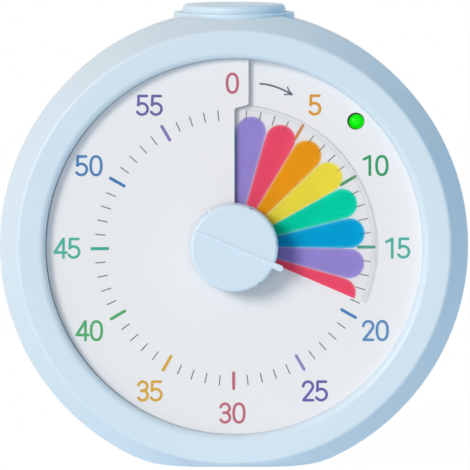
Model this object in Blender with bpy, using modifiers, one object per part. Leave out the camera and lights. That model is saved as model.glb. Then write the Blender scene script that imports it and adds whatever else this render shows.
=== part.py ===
# Visual timer: a round desk timer whose petal disc winds out of a slit in its helical dial.
# Metres, +Z up. The dial faces -Y. Depth runs from the bezel's front plane into the body.
import math

import bmesh
import bpy
from mathutils import Matrix, Vector

# Body
BODY_RADIUS = 0.0750
BASE_CUT = 0.0040
AXIS_HEIGHT = BODY_RADIUS - BASE_CUT
BODY_TOP = AXIS_HEIGHT + BODY_RADIUS
SHOULDER_WIDTH = 0.0057
BEZEL_RADIUS = BODY_RADIUS - SHOULDER_WIDTH
BEZEL_SOFT = 0.0005
SHOULDER_DEPTH = 0.0080
SHOULDER_ROUND = 0.0022
SIDE_DRAFT = 0.030
REAR_ROUND = 0.0050
WALL = 0.0025
BASE_BLEND = 0.0030
BEZEL_WIDTH = 0.0090
OPENING_RADIUS = BEZEL_RADIUS - BEZEL_WIDTH
OPENING_ROUND = 0.0027
WELL_WALL = 0.0022
WELL_DEPTH = 0.0100
SPLIT_DEPTH = 0.0250
SEAT_GAP = 0.0003

# Helical dial and petal sheet, whose pitch lets the sheet pass between the dial's two ends
DIAL_THICKNESS = 0.0010
SHEET_THICKNESS = 0.0004
DIAL_PITCH = DIAL_THICKNESS + SHEET_THICKNESS + 2 * SEAT_GAP
DIAL_LOW_DEPTH = 0.0060
DIAL_BORE = 0.0081
DIAL_UNDERLAP = 4.0
TAB_REACH = 0.0045
TAB_STEP_RADIUS = 0.0444
TAB_CORNER = 0.0009
SHEET_RADIUS = 0.0454
SHEET_BORE = 0.0063
PETAL_COUNT = 24
PETAL_TIP_RADIUS = 0.0420
PETAL_END_RADIUS = 0.0048
PETAL_GROOVE = 0.0003
PETAL_RISE = 0.00015
SHOWN_ANGLE = 113.4

# Knob, hub and shaft
KNOB_RADIUS = 0.0140
KNOB_PROUD = 0.0050
KNOB_REAR_DEPTH = 0.0030
KNOB_WALL = 0.0020
KNOB_FACE = 0.0030
KNOB_ROUND = 0.0008
KNOB_BOSS_RADIUS = 0.0055
KNOB_BOSS_DEPTH = 0.0018
NOTCH_WIDTH = 0.0013
NOTCH_DEEP = 0.0007
POINTER_REACH = 0.0171
POINTER_HEAD_WIDTH = 0.0020
POINTER_TAIL_WIDTH = 0.00135
POINTER_THICKNESS = 0.0016
POINTER_PROUD = 0.0002
SHAFT_RADIUS = 0.0030
SHAFT_FLAT = 0.0023
HUB_RADIUS = 0.0060
FLANGE_RADIUS = 0.0076
FLANGE_THICKNESS = 0.0008

# Chassis plate and indicator lamp
CHASSIS_THICKNESS = 0.0020
CHASSIS_OVERLAP = 0.0037
CHASSIS_RADIUS = OPENING_RADIUS + CHASSIS_OVERLAP
POST_RADIUS = 0.0016
DIAL_POST_INSET = 0.0063
DIAL_POST_COUNT = 8
DIAL_POST_START = 20.0
LAMP_INSET = 0.0037
LAMP_RING = OPENING_RADIUS - LAMP_INSET
LAMP_ANGLE = 44.2
LAMP_RADIUS = 0.00245
LAMP_HOLE_RADIUS = 0.00275
LAMP_TOP_DEPTH = 0.0066
LAMP_LENGTH = 0.0060
LEAD_RADIUS = 0.0003
LEAD_SPACING = 0.0025

# Timer movement
MOVEMENT_SIDE = 0.0560
MOVEMENT_DEPTH = 0.0136
MOVEMENT_WALL = 0.0015
COVER_THICKNESS = 0.0015
GEAR_MODULE = 0.0008
OUTPUT_TEETH = 36
WHEEL_TEETH = 30
PINION_TEETH = 10
WHEEL_ADDENDUM = 0.00045
PINION_ADDENDUM = 0.0007
DEDENDUM = 0.0009
BACKLASH = 0.00016
WHEEL_THICKNESS = 0.0018
ARBOR_RADIUS = 0.0008
INTERMEDIATE_ANGLE = 45.0
ROTOR_ANGLE = 167.0
MAGNET_RADIUS = 0.0040
STATOR_THICKNESS = 0.0015
COIL_RADIUS = 0.0039
COIL_LENGTH = 0.0220
COIL_HEIGHT = -0.0200

# Top button
BUTTON_RADIUS = 0.01655
BUTTON_PROUD = 0.0019
BUTTON_TOP = BODY_TOP + BUTTON_PROUD
BUTTON_ROUND = 0.0012
BUTTON_WALL = 0.0018
BUTTON_LIP = 0.0014
BUTTON_TRAVEL = 0.0015
BUTTON_CLEAR = 0.0004
STEM_RADIUS = 0.0025
COLLAR_RADIUS = 0.0194
COLLAR_SUNK = 0.0007
COLLAR_TOP = BODY_TOP - COLLAR_SUNK
COLLAR_HEIGHT = 0.0040
COLLAR_SEAT = COLLAR_TOP - COLLAR_HEIGHT
LIP_SUNK = 0.0023
LIP_TOP = COLLAR_SEAT - LIP_SUNK
BOSS_HEIGHT = 0.0080
BOSS_BOTTOM = LIP_TOP - BOSS_HEIGHT
BOSS_WALL = 0.0030
SPRING_RADIUS = 0.0080
SPRING_WIRE = 0.0004
SPRING_TURNS = 4

# Screws
BOSS_INSET = 0.0088
BOSS_RING = BODY_RADIUS - BOSS_INSET
BOSS_RADIUS = 0.0040
SCREW_RADIUS = 0.0014
SCREW_HEAD_RADIUS = 0.0026
SCREW_HEAD_HEIGHT = 0.0018
SCREW_RECESS = 0.0080
SCREW_TIP_DEPTH = 0.0070
SMALL_SCREW_RADIUS = 0.0010
SMALL_HEAD_RADIUS = 0.0019
SMALL_HEAD_HEIGHT = 0.0011
MOVEMENT_SCREW_SPOT = 0.0235
MOVEMENT_SCREW_LENGTH = 0.0070

# Boards
BOARD_THICKNESS = 0.0016
BUTTON_BOARD_WIDTH = 0.0370
BUTTON_BOARD_DEPTH = 0.0200
SWITCH_SIDE = 0.0060
SWITCH_HEIGHT = 0.0035
MAIN_BOARD_WIDTH = 0.0800
MAIN_BOARD_CLEAR = 0.0040
MAIN_BOARD_LOW = AXIS_HEIGHT + MOVEMENT_SIDE / 2 + MAIN_BOARD_CLEAR
MAIN_BOARD_HIGH = BOSS_BOTTOM - BOARD_THICKNESS - SMALL_HEAD_HEIGHT - MAIN_BOARD_CLEAR / 2
MAIN_BOARD_DEPTH = 0.0200

# Battery bay and door
CELL_RADIUS = 0.0071
CELL_LENGTH = 0.0492
CELL_NUB = 0.0012
CONTACT_ROOM = 0.0066
BAY_LENGTH = CELL_LENGTH + CELL_NUB + CONTACT_ROOM
BAY_LOW = 0.0145
BAY_WALL = 0.0015
BAY_CLEAR = 0.0005
DOOR_THICKNESS = 0.0020
DOOR_MARGIN = 0.0020
DOOR_RIB = 0.0012
CONTACT_THICKNESS = 0.0004

# Buzzer and sound switch
BUZZER_RADIUS = 0.0105
BUZZER_HEIGHT = 0.0060
BUZZER_X = -0.0440
BUZZER_Z = AXIS_HEIGHT + 0.0120
GRILLE_HOLE = 0.0009
GRILLE_PITCH = 0.0034
SLIDER_X = 0.0440
SLIDER_Z = AXIS_HEIGHT + 0.0120
SLIDER_LENGTH = 0.0050
SLIDER_WIDTH = 0.0036
SLIDER_TRAVEL = 0.0030

# Facets
BODY_STEPS = 60
ROUND_STEPS = 32
SMALL_STEPS = 8

# The body is as deep as the movement, the cells behind it and their door need
CHASSIS_DEPTH = WELL_DEPTH + SEAT_GAP
CHASSIS_BACK = CHASSIS_DEPTH + CHASSIS_THICKNESS
MOVEMENT_FRONT = CHASSIS_BACK + SEAT_GAP
MOVEMENT_BACK = MOVEMENT_FRONT + MOVEMENT_DEPTH
BAY_FRONT = MOVEMENT_BACK + SEAT_GAP + COVER_THICKNESS + BAY_CLEAR + BAY_WALL
BODY_DEPTH = BAY_FRONT + 2 * SEAT_GAP + 2 * CELL_RADIUS + DOOR_RIB + DOOR_THICKNESS
FRONT_Y = KNOB_PROUD + POINTER_PROUD - (BODY_DEPTH + KNOB_PROUD + POINTER_PROUD) / 2
BUTTON_DEPTH = SPLIT_DEPTH + SEAT_GAP / 2
HOUSING_SCREW_DEPTH = BODY_DEPTH - SCREW_RECESS
HOUSING_SCREW_LENGTH = HOUSING_SCREW_DEPTH - SCREW_TIP_DEPTH
BOSS_SPOTS = (45.0, 135.0, 225.0, 315.0)
FACE_BACK = (-math.pi / 2, 0.0, 0.0)


def polar(radius, angle):
    # A point in the dial's frame: X right, Y down, angles in degrees clockwise from the top.
    turn = math.radians(angle)
    return radius * math.sin(turn), -radius * math.cos(turn)


def above_table(height):
    # The dial frame's Y of a point at this height above the table.
    return AXIS_HEIGHT - height


def side_radius(depth):
    # The drafted side wall's radius.
    return BODY_RADIUS - SIDE_DRAFT * max(0.0, depth - SHOULDER_DEPTH - SHOULDER_ROUND)


def helix_depth(angle):
    # Depth of the dial's front face at an angle in degrees clockwise from the slit.
    return DIAL_LOW_DEPTH - DIAL_PITCH * angle / 360


def soft_floor(height, floor):
    # The larger of two heights, with a blend where they meet.
    near = BASE_BLEND - abs(height - floor)
    return max(height, floor) + (near * near / (4 * BASE_BLEND) if near > 0 else 0.0)


def new_collection(name):
    group = bpy.data.collections.new(name)
    bpy.context.scene.collection.children.link(group)
    return group


def new_material(name, colour, roughness, metallic=0.0, alpha=1.0):
    finish = bpy.data.materials.new(name)
    finish.use_nodes = True
    shader = finish.node_tree.nodes["Principled BSDF"]
    shader.inputs["Base Color"].default_value = (*colour, 1.0)
    shader.inputs["Roughness"].default_value = roughness
    shader.inputs["Metallic"].default_value = metallic
    shader.inputs["Alpha"].default_value = alpha
    return finish


def new_object(name, mesh, finish=None):
    # A sub-part when it has a finish, and a cutter when it has none.
    thing = bpy.data.objects.new(name, mesh)
    if finish is None:
        cutters.objects.link(thing)
        thing.hide_render = True
        thing.display_type = "WIRE"
    else:
        parts.objects.link(thing)
        mesh.materials.append(finish)
    return thing


def at_dial(thing, x=0.0, y=0.0):
    # Sets local Z along the depth, with the origin on an axis parallel to the dial's.
    thing.location = (x, FRONT_Y, AXIS_HEIGHT - y)
    thing.rotation_euler = FACE_BACK
    return thing


def at_button(thing):
    thing.location = (0.0, FRONT_Y + BUTTON_DEPTH, 0.0)
    return thing


def baked(thing):
    # Swaps an object's modifiers for the mesh that they make.
    bpy.context.view_layer.update()
    graph = bpy.context.evaluated_depsgraph_get()
    mesh = bpy.data.meshes.new_from_object(thing.evaluated_get(graph))
    thing.modifiers.clear()
    thing.data = mesh
    return thing


def turned(name, profile, finish=None, steps=ROUND_STEPS):
    # Turns (radius, height) points round local Z, outer side first, from high to low.
    ring = list(profile)
    area = sum(a[0] * b[1] - b[0] * a[1] for a, b in zip(ring, ring[1:] + ring[:1]))
    if area > 0:
        ring.reverse()
    on_axis = [i for i, point in enumerate(ring) if point[0] < 1e-7]
    while on_axis and not (ring[0][0] < 1e-7 and ring[-1][0] < 1e-7):
        ring = ring[1:] + ring[:1]
    edges = [(i, i + 1) for i in range(len(ring) - 1)]
    if not on_axis:
        edges.append((len(ring) - 1, 0))
    mesh = bpy.data.meshes.new(name)
    mesh.from_pydata([(r, 0.0, h) for r, h in ring], edges, [])
    thing = new_object(name, mesh, finish)
    screw = thing.modifiers.new("Turn", "SCREW")
    screw.steps = steps
    screw.render_steps = steps
    screw.use_merge_vertices = True
    screw.merge_threshold = 1e-6
    screw.use_smooth_shade = True
    return thing


def outline_mesh(outlines, thickness):
    # A flat plate from closed outlines, its lower face at local Z 0; inner outlines are holes.
    curve = bpy.data.curves.new("outline", "CURVE")
    curve.dimensions = "2D"
    curve.fill_mode = "BOTH"
    curve.extrude = thickness / 2
    for points in outlines:
        spline = curve.splines.new("POLY")
        spline.points.add(len(points) - 1)
        for target, point in zip(spline.points, points):
            target.co = (point[0], point[1], 0.0, 1.0)
        spline.use_cyclic_u = True
    holder = bpy.data.objects.new("outline", curve)
    cutters.objects.link(holder)
    bpy.context.view_layer.update()
    graph = bpy.context.evaluated_depsgraph_get()
    mesh = bpy.data.meshes.new_from_object(holder.evaluated_get(graph))
    bpy.data.objects.remove(holder)
    mesh.materials.clear()
    shape = bmesh.new()
    shape.from_mesh(mesh)
    bmesh.ops.remove_doubles(shape, verts=shape.verts, dist=1e-6)
    bmesh.ops.translate(shape, verts=shape.verts, vec=(0.0, 0.0, thickness / 2))
    shape.to_mesh(mesh)
    shape.free()
    return mesh


def plate(name, outlines, low, thickness, finish=None):
    mesh = outline_mesh(outlines, thickness)
    mesh.transform(Matrix.Translation((0.0, 0.0, low)))
    return new_object(name, mesh, finish)


def circle(radius, steps=ROUND_STEPS, x=0.0, y=0.0):
    turn = 2 * math.pi / steps
    return [(x + radius * math.cos(i * turn), y + radius * math.sin(i * turn)) for i in range(steps)]


def rods(name, spots, radius, low, high, finish=None, steps=ROUND_STEPS):
    # Straight rods along local Z, one at each spot, in one mesh; each spot may bring its own low end.
    shape = bmesh.new()
    for spot in spots:
        foot = spot[2] if len(spot) > 2 else low
        place = Matrix.Translation((spot[0], spot[1], (foot + high) / 2))
        bmesh.ops.create_cone(shape, cap_ends=True, segments=steps, radius1=radius, radius2=radius,
                              depth=high - foot, matrix=place)
    mesh = bpy.data.meshes.new(name)
    shape.to_mesh(mesh)
    shape.free()
    return new_object(name, mesh, finish)


def block(name, low, high, finish=None, soft=0.0):
    # A box between two corners, with its edges softened if asked.
    shape = bmesh.new()
    middle = (Vector(low) + Vector(high)) / 2
    size = Vector(high) - Vector(low)
    bmesh.ops.create_cube(shape, size=1.0, matrix=Matrix.Translation(middle) @ Matrix.Diagonal((*size, 1.0)))
    mesh = bpy.data.meshes.new(name)
    shape.to_mesh(mesh)
    shape.free()
    thing = new_object(name, mesh, finish)
    if soft > 0:
        soften(thing, soft)
    return thing


def soften(thing, width, segments=1):
    bevel = thing.modifiers.new("Soft edges", "BEVEL")
    bevel.width = width
    bevel.segments = segments
    bevel.limit_method = "ANGLE"
    bevel.angle_limit = math.radians(40)
    return thing


def combine(thing, operation, other):
    # The other object follows the first one's place, and is left out of the model.
    other.location = thing.location
    other.rotation_euler = thing.rotation_euler
    step = thing.modifiers.new(other.name, "BOOLEAN")
    step.operation = operation
    step.object = other
    return thing


def cut(thing, other):
    return combine(thing, "DIFFERENCE", other)


def join(thing, other):
    return combine(thing, "UNION", other)


def arc(radius, x, height, start, end, steps):
    # Points of a quarter round, angles in degrees from +X towards +Z.
    found = []
    for i in range(steps + 1):
        turn = math.radians(start + (end - start) * i / steps)
        found.append((x + radius * math.cos(turn), height + radius * math.sin(turn)))
    return found


def flatten_base(thing, floor):
    # Blends the round body into the flat that it stands on.
    for vertex in baked(thing).data.vertices:
        vertex.co.y = above_table(soft_floor(AXIS_HEIGHT - vertex.co.y, floor))
    return thing


def shoulder_profile(inset, rows):
    # The front cone and the drafted side wall, set in by a wall, down to the split.
    run = BODY_RADIUS - BEZEL_RADIUS
    points = []
    for i in range(rows + 1):
        share = i / rows
        reach = BEZEL_RADIUS + (run - SHOULDER_ROUND / 4) * share
        points.append((reach - inset, BEZEL_SOFT + (SHOULDER_DEPTH - BEZEL_SOFT) * share + inset))
    points.append((BODY_RADIUS - inset, SHOULDER_DEPTH + SHOULDER_ROUND + inset))
    return points


def button_well():
    # The opening for the button's skirt, its lip's groove and the collar's seat.
    skirt = BUTTON_RADIUS + BUTTON_CLEAR
    bore = SPRING_RADIUS + WALL
    groove = BUTTON_RADIUS + BUTTON_LIP + BUTTON_CLEAR
    seat = COLLAR_RADIUS + SEAT_GAP
    lip_low = LIP_TOP - 2 * BUTTON_TRAVEL - BUTTON_LIP
    profile = [(0.0, BUTTON_TOP + WALL), (seat, BUTTON_TOP + WALL), (seat, COLLAR_SEAT - SEAT_GAP),
               (skirt, COLLAR_SEAT - SEAT_GAP), (skirt, LIP_TOP + SEAT_GAP), (groove, LIP_TOP + SEAT_GAP),
               (groove, lip_low), (bore, lip_low), (bore, BOSS_BOTTOM - WALL), (0.0, BOSS_BOTTOM - WALL)]
    return profile


def button_boss(housing, low_depth, high_depth):
    # Half of the tube under the button, carved from the housing that it stands in.
    outer = BUTTON_RADIUS + BUTTON_LIP + BUTTON_CLEAR + BOSS_WALL
    top = AXIS_HEIGHT + math.sqrt(BODY_RADIUS ** 2 - outer ** 2) - WALL / 4
    tube = at_button(turned("button_boss", [(0.0, top), (outer, top), (outer, BOSS_BOTTOM),
                                            (0.0, BOSS_BOTTOM)]))
    half = block("button_boss_half", (-outer - WALL, FRONT_Y + low_depth, BOSS_BOTTOM - WALL),
                 (outer + WALL, FRONT_Y + high_depth, top + WALL))
    step = tube.modifiers.new("Half", "BOOLEAN")
    step.operation = "INTERSECT"
    step.object = half
    step = housing.modifiers.new("Button boss", "BOOLEAN")
    step.operation = "UNION"
    step.object = tube
    holes = rods("board_screw_holes", board_screw_spots(), SMALL_SCREW_RADIUS + SEAT_GAP, BOSS_BOTTOM - WALL,
                 BOSS_BOTTOM + WALL, steps=SMALL_STEPS)
    for cutter in (at_button(turned("button_well", button_well())), at_button(holes)):
        step = housing.modifiers.new(cutter.name, "BOOLEAN")
        step.operation = "DIFFERENCE"
        step.object = cutter


def boss_spots():
    return [polar(BOSS_RING, angle) for angle in BOSS_SPOTS]


def front_housing():
    bore = [(OPENING_RADIUS, SPLIT_DEPTH)]
    bore += arc(OPENING_ROUND, OPENING_RADIUS + OPENING_ROUND, OPENING_ROUND, 180, 270, 4)
    outer = bore + [(BEZEL_RADIUS - BEZEL_SOFT, 0.0)] + shoulder_profile(0.0, 3)
    outer.append((side_radius(SPLIT_DEPTH), SPLIT_DEPTH))
    housing = at_dial(turned("front_housing", outer, shell_finish, BODY_STEPS))
    flatten_base(housing, 0.0)
    inner = [(OPENING_RADIUS + WELL_WALL, WALL), (BEZEL_RADIUS - WALL, WALL)] + shoulder_profile(WALL, 1)[1:]
    inner += [(side_radius(SPLIT_DEPTH) - WALL, SPLIT_DEPTH + WALL), (0.0, SPLIT_DEPTH + WALL)]
    inner += [(0.0, WELL_DEPTH), (OPENING_RADIUS + WELL_WALL, WELL_DEPTH)]
    hollow = at_dial(turned("front_hollow", inner, steps=BODY_STEPS))
    flatten_base(hollow, WALL)
    cut(housing, hollow)
    button_boss(housing, CHASSIS_BACK + SEAT_GAP, SPLIT_DEPTH - SEAT_GAP / 3)
    join(housing, rods("front_bosses", boss_spots(), BOSS_RADIUS, WALL - SEAT_GAP, WELL_DEPTH - SEAT_GAP / 2,
                       steps=16))
    cut(housing, rods("front_boss_holes", boss_spots(), SCREW_RADIUS + SEAT_GAP, WALL, WELL_DEPTH + WALL,
                      steps=SMALL_STEPS))
    return housing


def bay_box():
    # The battery bay's inner corners in the dial's frame, for two cells lying one above the other.
    row = 2 * CELL_RADIUS + 2 * SEAT_GAP
    high = BAY_LOW + 2 * row
    back = BODY_DEPTH - DOOR_THICKNESS
    front = back - DOOR_RIB - 2 * SEAT_GAP - 2 * CELL_RADIUS
    low_corner = (-BAY_LENGTH / 2, above_table(high), front)
    return low_corner, (BAY_LENGTH / 2, above_table(BAY_LOW), back)


def rear_housing():
    start = SPLIT_DEPTH + SEAT_GAP
    bend = BODY_DEPTH - REAR_ROUND
    outer = [(0.0, start), (side_radius(start), start), (side_radius(bend), bend)]
    outer += arc(REAR_ROUND, side_radius(bend) - REAR_ROUND, bend, 0, 90, 4)[1:]
    outer += [(0.0, BODY_DEPTH)]
    housing = at_dial(turned("rear_housing", outer, shell_finish, BODY_STEPS))
    flatten_base(housing, 0.0)
    round_in = REAR_ROUND - WALL
    inner = [(0.0, SPLIT_DEPTH - WALL), (side_radius(start) - WALL, SPLIT_DEPTH - WALL)]
    inner += arc(round_in, side_radius(bend) - REAR_ROUND, bend, 0, 90, 3) + [(0.0, BODY_DEPTH - WALL)]
    hollow = at_dial(turned("rear_hollow", inner, steps=BODY_STEPS))
    flatten_base(hollow, WALL)
    cut(housing, hollow)
    button_boss(housing, start + SEAT_GAP / 3, BODY_DEPTH)
    join(housing, rods("rear_bosses", boss_spots(), BOSS_RADIUS, CHASSIS_BACK + SEAT_GAP,
                       BODY_DEPTH - WALL / 2, steps=16))
    low, high = bay_box()
    grow = Vector((BAY_WALL, BAY_WALL, BAY_WALL))
    join(housing, block("bay_shell", Vector(low) - grow, Vector(high) + Vector((BAY_WALL, BAY_WALL, 0.0))))
    cut(housing, block("bay_space", low, (high[0], high[1], BODY_DEPTH + WALL)))
    ledge = DOOR_MARGIN
    cut(housing, block("door_recess", (low[0] - ledge, low[1] - ledge, high[2]),
                       (high[0] + ledge, high[1] + ledge, BODY_DEPTH + WALL)))
    cut(housing, rods("rear_boss_holes", boss_spots(), SCREW_RADIUS + SEAT_GAP, CHASSIS_BACK - WALL,
                      HOUSING_SCREW_DEPTH, steps=SMALL_STEPS))
    cut(housing, rods("screw_recesses", boss_spots(), SCREW_HEAD_RADIUS + SEAT_GAP,
                      HOUSING_SCREW_DEPTH - SEAT_GAP, BODY_DEPTH + WALL, steps=16))
    buzzer = (BUZZER_X, above_table(BUZZER_Z))
    ring_low = BODY_DEPTH - WALL - BUZZER_HEIGHT
    join(housing, plate("buzzer_ring", [circle(BUZZER_RADIUS + SEAT_GAP + BAY_WALL, 24, *buzzer),
                                        circle(BUZZER_RADIUS + SEAT_GAP, 24, *buzzer)],
                        ring_low, BUZZER_HEIGHT + WALL / 2))
    cut(housing, rods("grille", grille_spots(), GRILLE_HOLE, ring_low, BODY_DEPTH + WALL, steps=6))
    slot_x = SLIDER_TRAVEL + SLIDER_LENGTH / 2 + SEAT_GAP
    slot_y = SLIDER_WIDTH / 2 + SEAT_GAP
    middle = above_table(SLIDER_Z)
    cut(housing, block("slider_slot", (SLIDER_X - slot_x, middle - slot_y, BODY_DEPTH - 2 * WALL),
                       (SLIDER_X + slot_x, middle + slot_y, BODY_DEPTH + WALL)))
    return housing


def grille_spots():
    # A hexagon of holes in two rings round a middle one.
    spots = []
    for row in range(-2, 3):
        count = 5 - abs(row)
        for i in range(count):
            x = (i - (count - 1) / 2) * GRILLE_PITCH
            spots.append((BUZZER_X + x, above_table(BUZZER_Z) + row * GRILLE_PITCH * math.sqrt(0.75)))
    return spots


def seam_outline():
    # What is cut from the dial's high end: right of the slit, and beyond the tab that carries the zero.
    far = SHEET_RADIUS + OPENING_RADIUS
    low = arc(TAB_CORNER, TAB_CORNER, -TAB_STEP_RADIUS + TAB_CORNER, 180, 250, 3)
    high = arc(TAB_CORNER, TAB_REACH - TAB_CORNER, -TAB_STEP_RADIUS - 2 * TAB_CORNER, 70, 0, 3)
    points = [(0.0, 0.0)] + low + high + [(TAB_REACH, -far), (3 * TAB_REACH, -far), (3 * TAB_REACH, 0.0)]
    return points


def dial_plate():
    # A helical plate: a radial line wound past one turn, thickened, with its high end cut to shape.
    extra = 10.0
    turn = DIAL_UNDERLAP + 360.0 + extra
    steps = BODY_STEPS + 3
    mesh = bpy.data.meshes.new("dial_plate")
    inner = polar(DIAL_BORE, -DIAL_UNDERLAP)
    outer = polar(OPENING_RADIUS - SEAT_GAP, -DIAL_UNDERLAP)
    start = helix_depth(-DIAL_UNDERLAP)
    mesh.from_pydata([(*inner, start), (*outer, start)], [(0, 1)], [])
    dial = at_dial(new_object("dial_plate", mesh, dial_finish))
    screw = dial.modifiers.new("Wind", "SCREW")
    screw.angle = math.radians(turn)
    screw.screw_offset = -DIAL_PITCH * turn / 360
    screw.steps = steps
    screw.render_steps = steps
    screw.merge_threshold = 1e-6
    thick = dial.modifiers.new("Thickness", "SOLIDIFY")
    thick.thickness = DIAL_THICKNESS
    thick.offset = 1.0
    baked(dial)
    high_front = helix_depth(360.0 + extra) - SEAT_GAP
    high_back = helix_depth(360.0) + DIAL_THICKNESS + SEAT_GAP
    cut(dial, plate("dial_seam", [seam_outline()], high_front, high_back - high_front))
    lamp = [polar(LAMP_RING, LAMP_ANGLE)]
    cut(dial, rods("lamp_hole", lamp, LAMP_HOLE_RADIUS, 0.0, CHASSIS_DEPTH, steps=20))
    return dial


def petal_edge(offset):
    # Radius of a petal's outline at an angle from its middle line, in degrees.
    turn = math.radians(offset)
    centre = PETAL_TIP_RADIUS - PETAL_END_RADIUS
    across = centre * math.sin(turn)
    return centre * math.cos(turn) + math.sqrt(max(PETAL_END_RADIUS ** 2 - across ** 2, 0.0))


def petal_columns():
    # Each column is an angle behind the leading edge, the petals' outline there and whether it is raised.
    # The leading edge runs down the middle of a petal.
    width = 360.0 / PETAL_COUNT
    found = []
    for petal in range(PETAL_COUNT + 1):
        for share in (-1.0, -0.92, -0.5, 0.0, 0.5, 0.92):
            behind = (petal + share / 2) * width
            if 0.0 <= behind < 360.0:
                found.append((behind, petal_edge(share * width / 2), share > -1.0))
    found.append((360.0 - math.degrees(PETAL_GROOVE / PETAL_TIP_RADIUS), petal_edge(0.0), True))
    return found


def petal_sheet():
    # A helical film lofted section by section, because its petals' outline changes along the turn.
    shape = bmesh.new()
    sections = []
    columns = petal_columns()
    for behind, edge, raised in columns:
        angle = SHOWN_ANGLE - behind
        back = helix_depth(angle) - SEAT_GAP
        base = back - SHEET_THICKNESS + PETAL_RISE
        top = base - PETAL_RISE if raised else base
        section = [(SHEET_BORE, top), (edge, top), (edge + PETAL_GROOVE / 2, base), (SHEET_RADIUS, base),
                   (SHEET_RADIUS, back), (SHEET_BORE, back)]
        sections.append([shape.verts.new((*polar(r, angle), d)) for r, d in section])
    count = len(sections[0])
    for k in range(len(sections) - 1):
        near, far = sections[k], sections[k + 1]
        for i in range(count):
            face = shape.faces.new((near[i], near[(i + 1) % count], far[(i + 1) % count], far[i]))
            printed = i == 0 and (columns[k][2] or columns[k + 1][2])
            petal = int(columns[k][0] * PETAL_COUNT / 360 + 0.5)
            face.material_index = 1 + petal % len(ink_finishes) if printed else 0
    shape.faces.new(sections[0][::-1])
    shape.faces.new(sections[-1])
    bmesh.ops.recalc_face_normals(shape, faces=shape.faces)
    mesh = bpy.data.meshes.new("petal_sheet")
    shape.to_mesh(mesh)
    shape.free()
    sheet = at_dial(new_object("petal_sheet", mesh, film_finish))
    for ink in ink_finishes:
        mesh.materials.append(ink)
    return sheet


def along(angle, forward, side):
    # A point this far out along a direction of the dial, and this far to its clockwise side.
    turn = math.radians(angle)
    x = forward * math.sin(turn) + side * math.cos(turn)
    return x, side * math.sin(turn) - forward * math.cos(turn)


def pointer_outline(gap):
    # The bar widens from its tail to its round head, which stands out past the knob.
    tail = POINTER_TAIL_WIDTH / 2 + gap
    head = POINTER_HEAD_WIDTH / 2 + gap
    rear = KNOB_RADIUS - KNOB_ROUND + gap
    points = [(-rear, -tail), (POINTER_REACH - head + gap, -head)]
    for i in range(1, 6):
        turn = math.radians(-90 + 30 * i)
        points.append((POINTER_REACH - head + gap + head * math.cos(turn), head * math.sin(turn)))
    points += [(POINTER_REACH - head + gap, head), (-rear, tail)]
    return [along(SHOWN_ANGLE, forward, side) for forward, side in points]


def shaft_key(name, low, high):
    # The rib that meets the shaft's flat, inside whatever turns with it.
    half = (SHAFT_RADIUS - SHAFT_FLAT) * 1.6
    return block(name, (SHAFT_FLAT + SEAT_GAP, -half, low), (SHAFT_RADIUS + 3 * SEAT_GAP, half, high))


def knob():
    inner = KNOB_RADIUS - KNOB_WALL
    face = -KNOB_PROUD
    ceiling = face + KNOB_FACE
    bore = SHAFT_RADIUS + SEAT_GAP
    profile = [(0.0, face)] + arc(KNOB_ROUND, KNOB_RADIUS - KNOB_ROUND, face + KNOB_ROUND, -90, 0, 3)
    profile += [(KNOB_RADIUS, KNOB_REAR_DEPTH), (inner, KNOB_REAR_DEPTH), (inner, ceiling),
                (KNOB_BOSS_RADIUS, ceiling), (KNOB_BOSS_RADIUS, KNOB_BOSS_DEPTH), (bore, KNOB_BOSS_DEPTH),
                (bore, ceiling), (0.0, ceiling)]
    grip = at_dial(turned("knob", profile, knob_finish))
    join(grip, shaft_key("knob_key", ceiling - SEAT_GAP, KNOB_BOSS_DEPTH))
    floor = face + POINTER_THICKNESS - POINTER_PROUD + SEAT_GAP
    cut(grip, plate("pointer_slot", [pointer_outline(SEAT_GAP)], face - WALL, floor - face + WALL))
    notches = []
    for i in range(6):
        angle = SHOWN_ANGLE + 30 + 60 * i
        near, far, half = KNOB_RADIUS - NOTCH_DEEP, KNOB_RADIUS + WALL, NOTCH_WIDTH / 2
        notches.append([along(angle, r, s) for r, s in ((near, -half), (far, -half), (far, half), (near, half))])
    return cut(grip, plate("knob_notches", notches, face - WALL, KNOB_REAR_DEPTH - face + 2 * WALL))


def pointer_bar():
    low = -KNOB_PROUD - POINTER_PROUD
    return at_dial(plate("pointer_bar", [pointer_outline(0.0)], low, POINTER_THICKNESS, pointer_finish))


def disc_hub():
    # A spool that clamps the sheet and slides on the shaft's flat as the sheet climbs.
    low = helix_depth(SHOWN_ANGLE) - 2 * SEAT_GAP - SHEET_THICKNESS
    high = helix_depth(SHOWN_ANGLE - 360)
    bore = SHAFT_RADIUS + SEAT_GAP
    front, back = low - FLANGE_THICKNESS, high + FLANGE_THICKNESS
    profile = [(bore, front), (FLANGE_RADIUS, front), (FLANGE_RADIUS, low), (HUB_RADIUS, low),
               (HUB_RADIUS, high), (FLANGE_RADIUS, high), (FLANGE_RADIUS, back), (bore, back)]
    hub = at_dial(turned("disc_hub", profile, plain_plastic))
    return join(hub, shaft_key("hub_key", front, back))


def drive_shaft():
    front = KNOB_FACE - KNOB_PROUD + SEAT_GAP
    back = MOVEMENT_BACK + SEAT_GAP + COVER_THICKNESS
    shaft = at_dial(rods("drive_shaft", [(0.0, 0.0)], SHAFT_RADIUS, front, back, steel, 24))
    low, high = (SHAFT_FLAT, -SHAFT_RADIUS, front - WALL), (2 * SHAFT_RADIUS, SHAFT_RADIUS, MOVEMENT_FRONT)
    return cut(shaft, block("shaft_flat", low, high))


def dial_posts():
    # Posts that carry the dial from behind, each as long as the helix needs at its angle.
    spots = []
    for i in range(DIAL_POST_COUNT):
        angle = DIAL_POST_START + 360 * i / DIAL_POST_COUNT
        spots.append((*polar(OPENING_RADIUS - DIAL_POST_INSET, angle), helix_depth(angle) + DIAL_THICKNESS + SEAT_GAP))
    return spots


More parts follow.
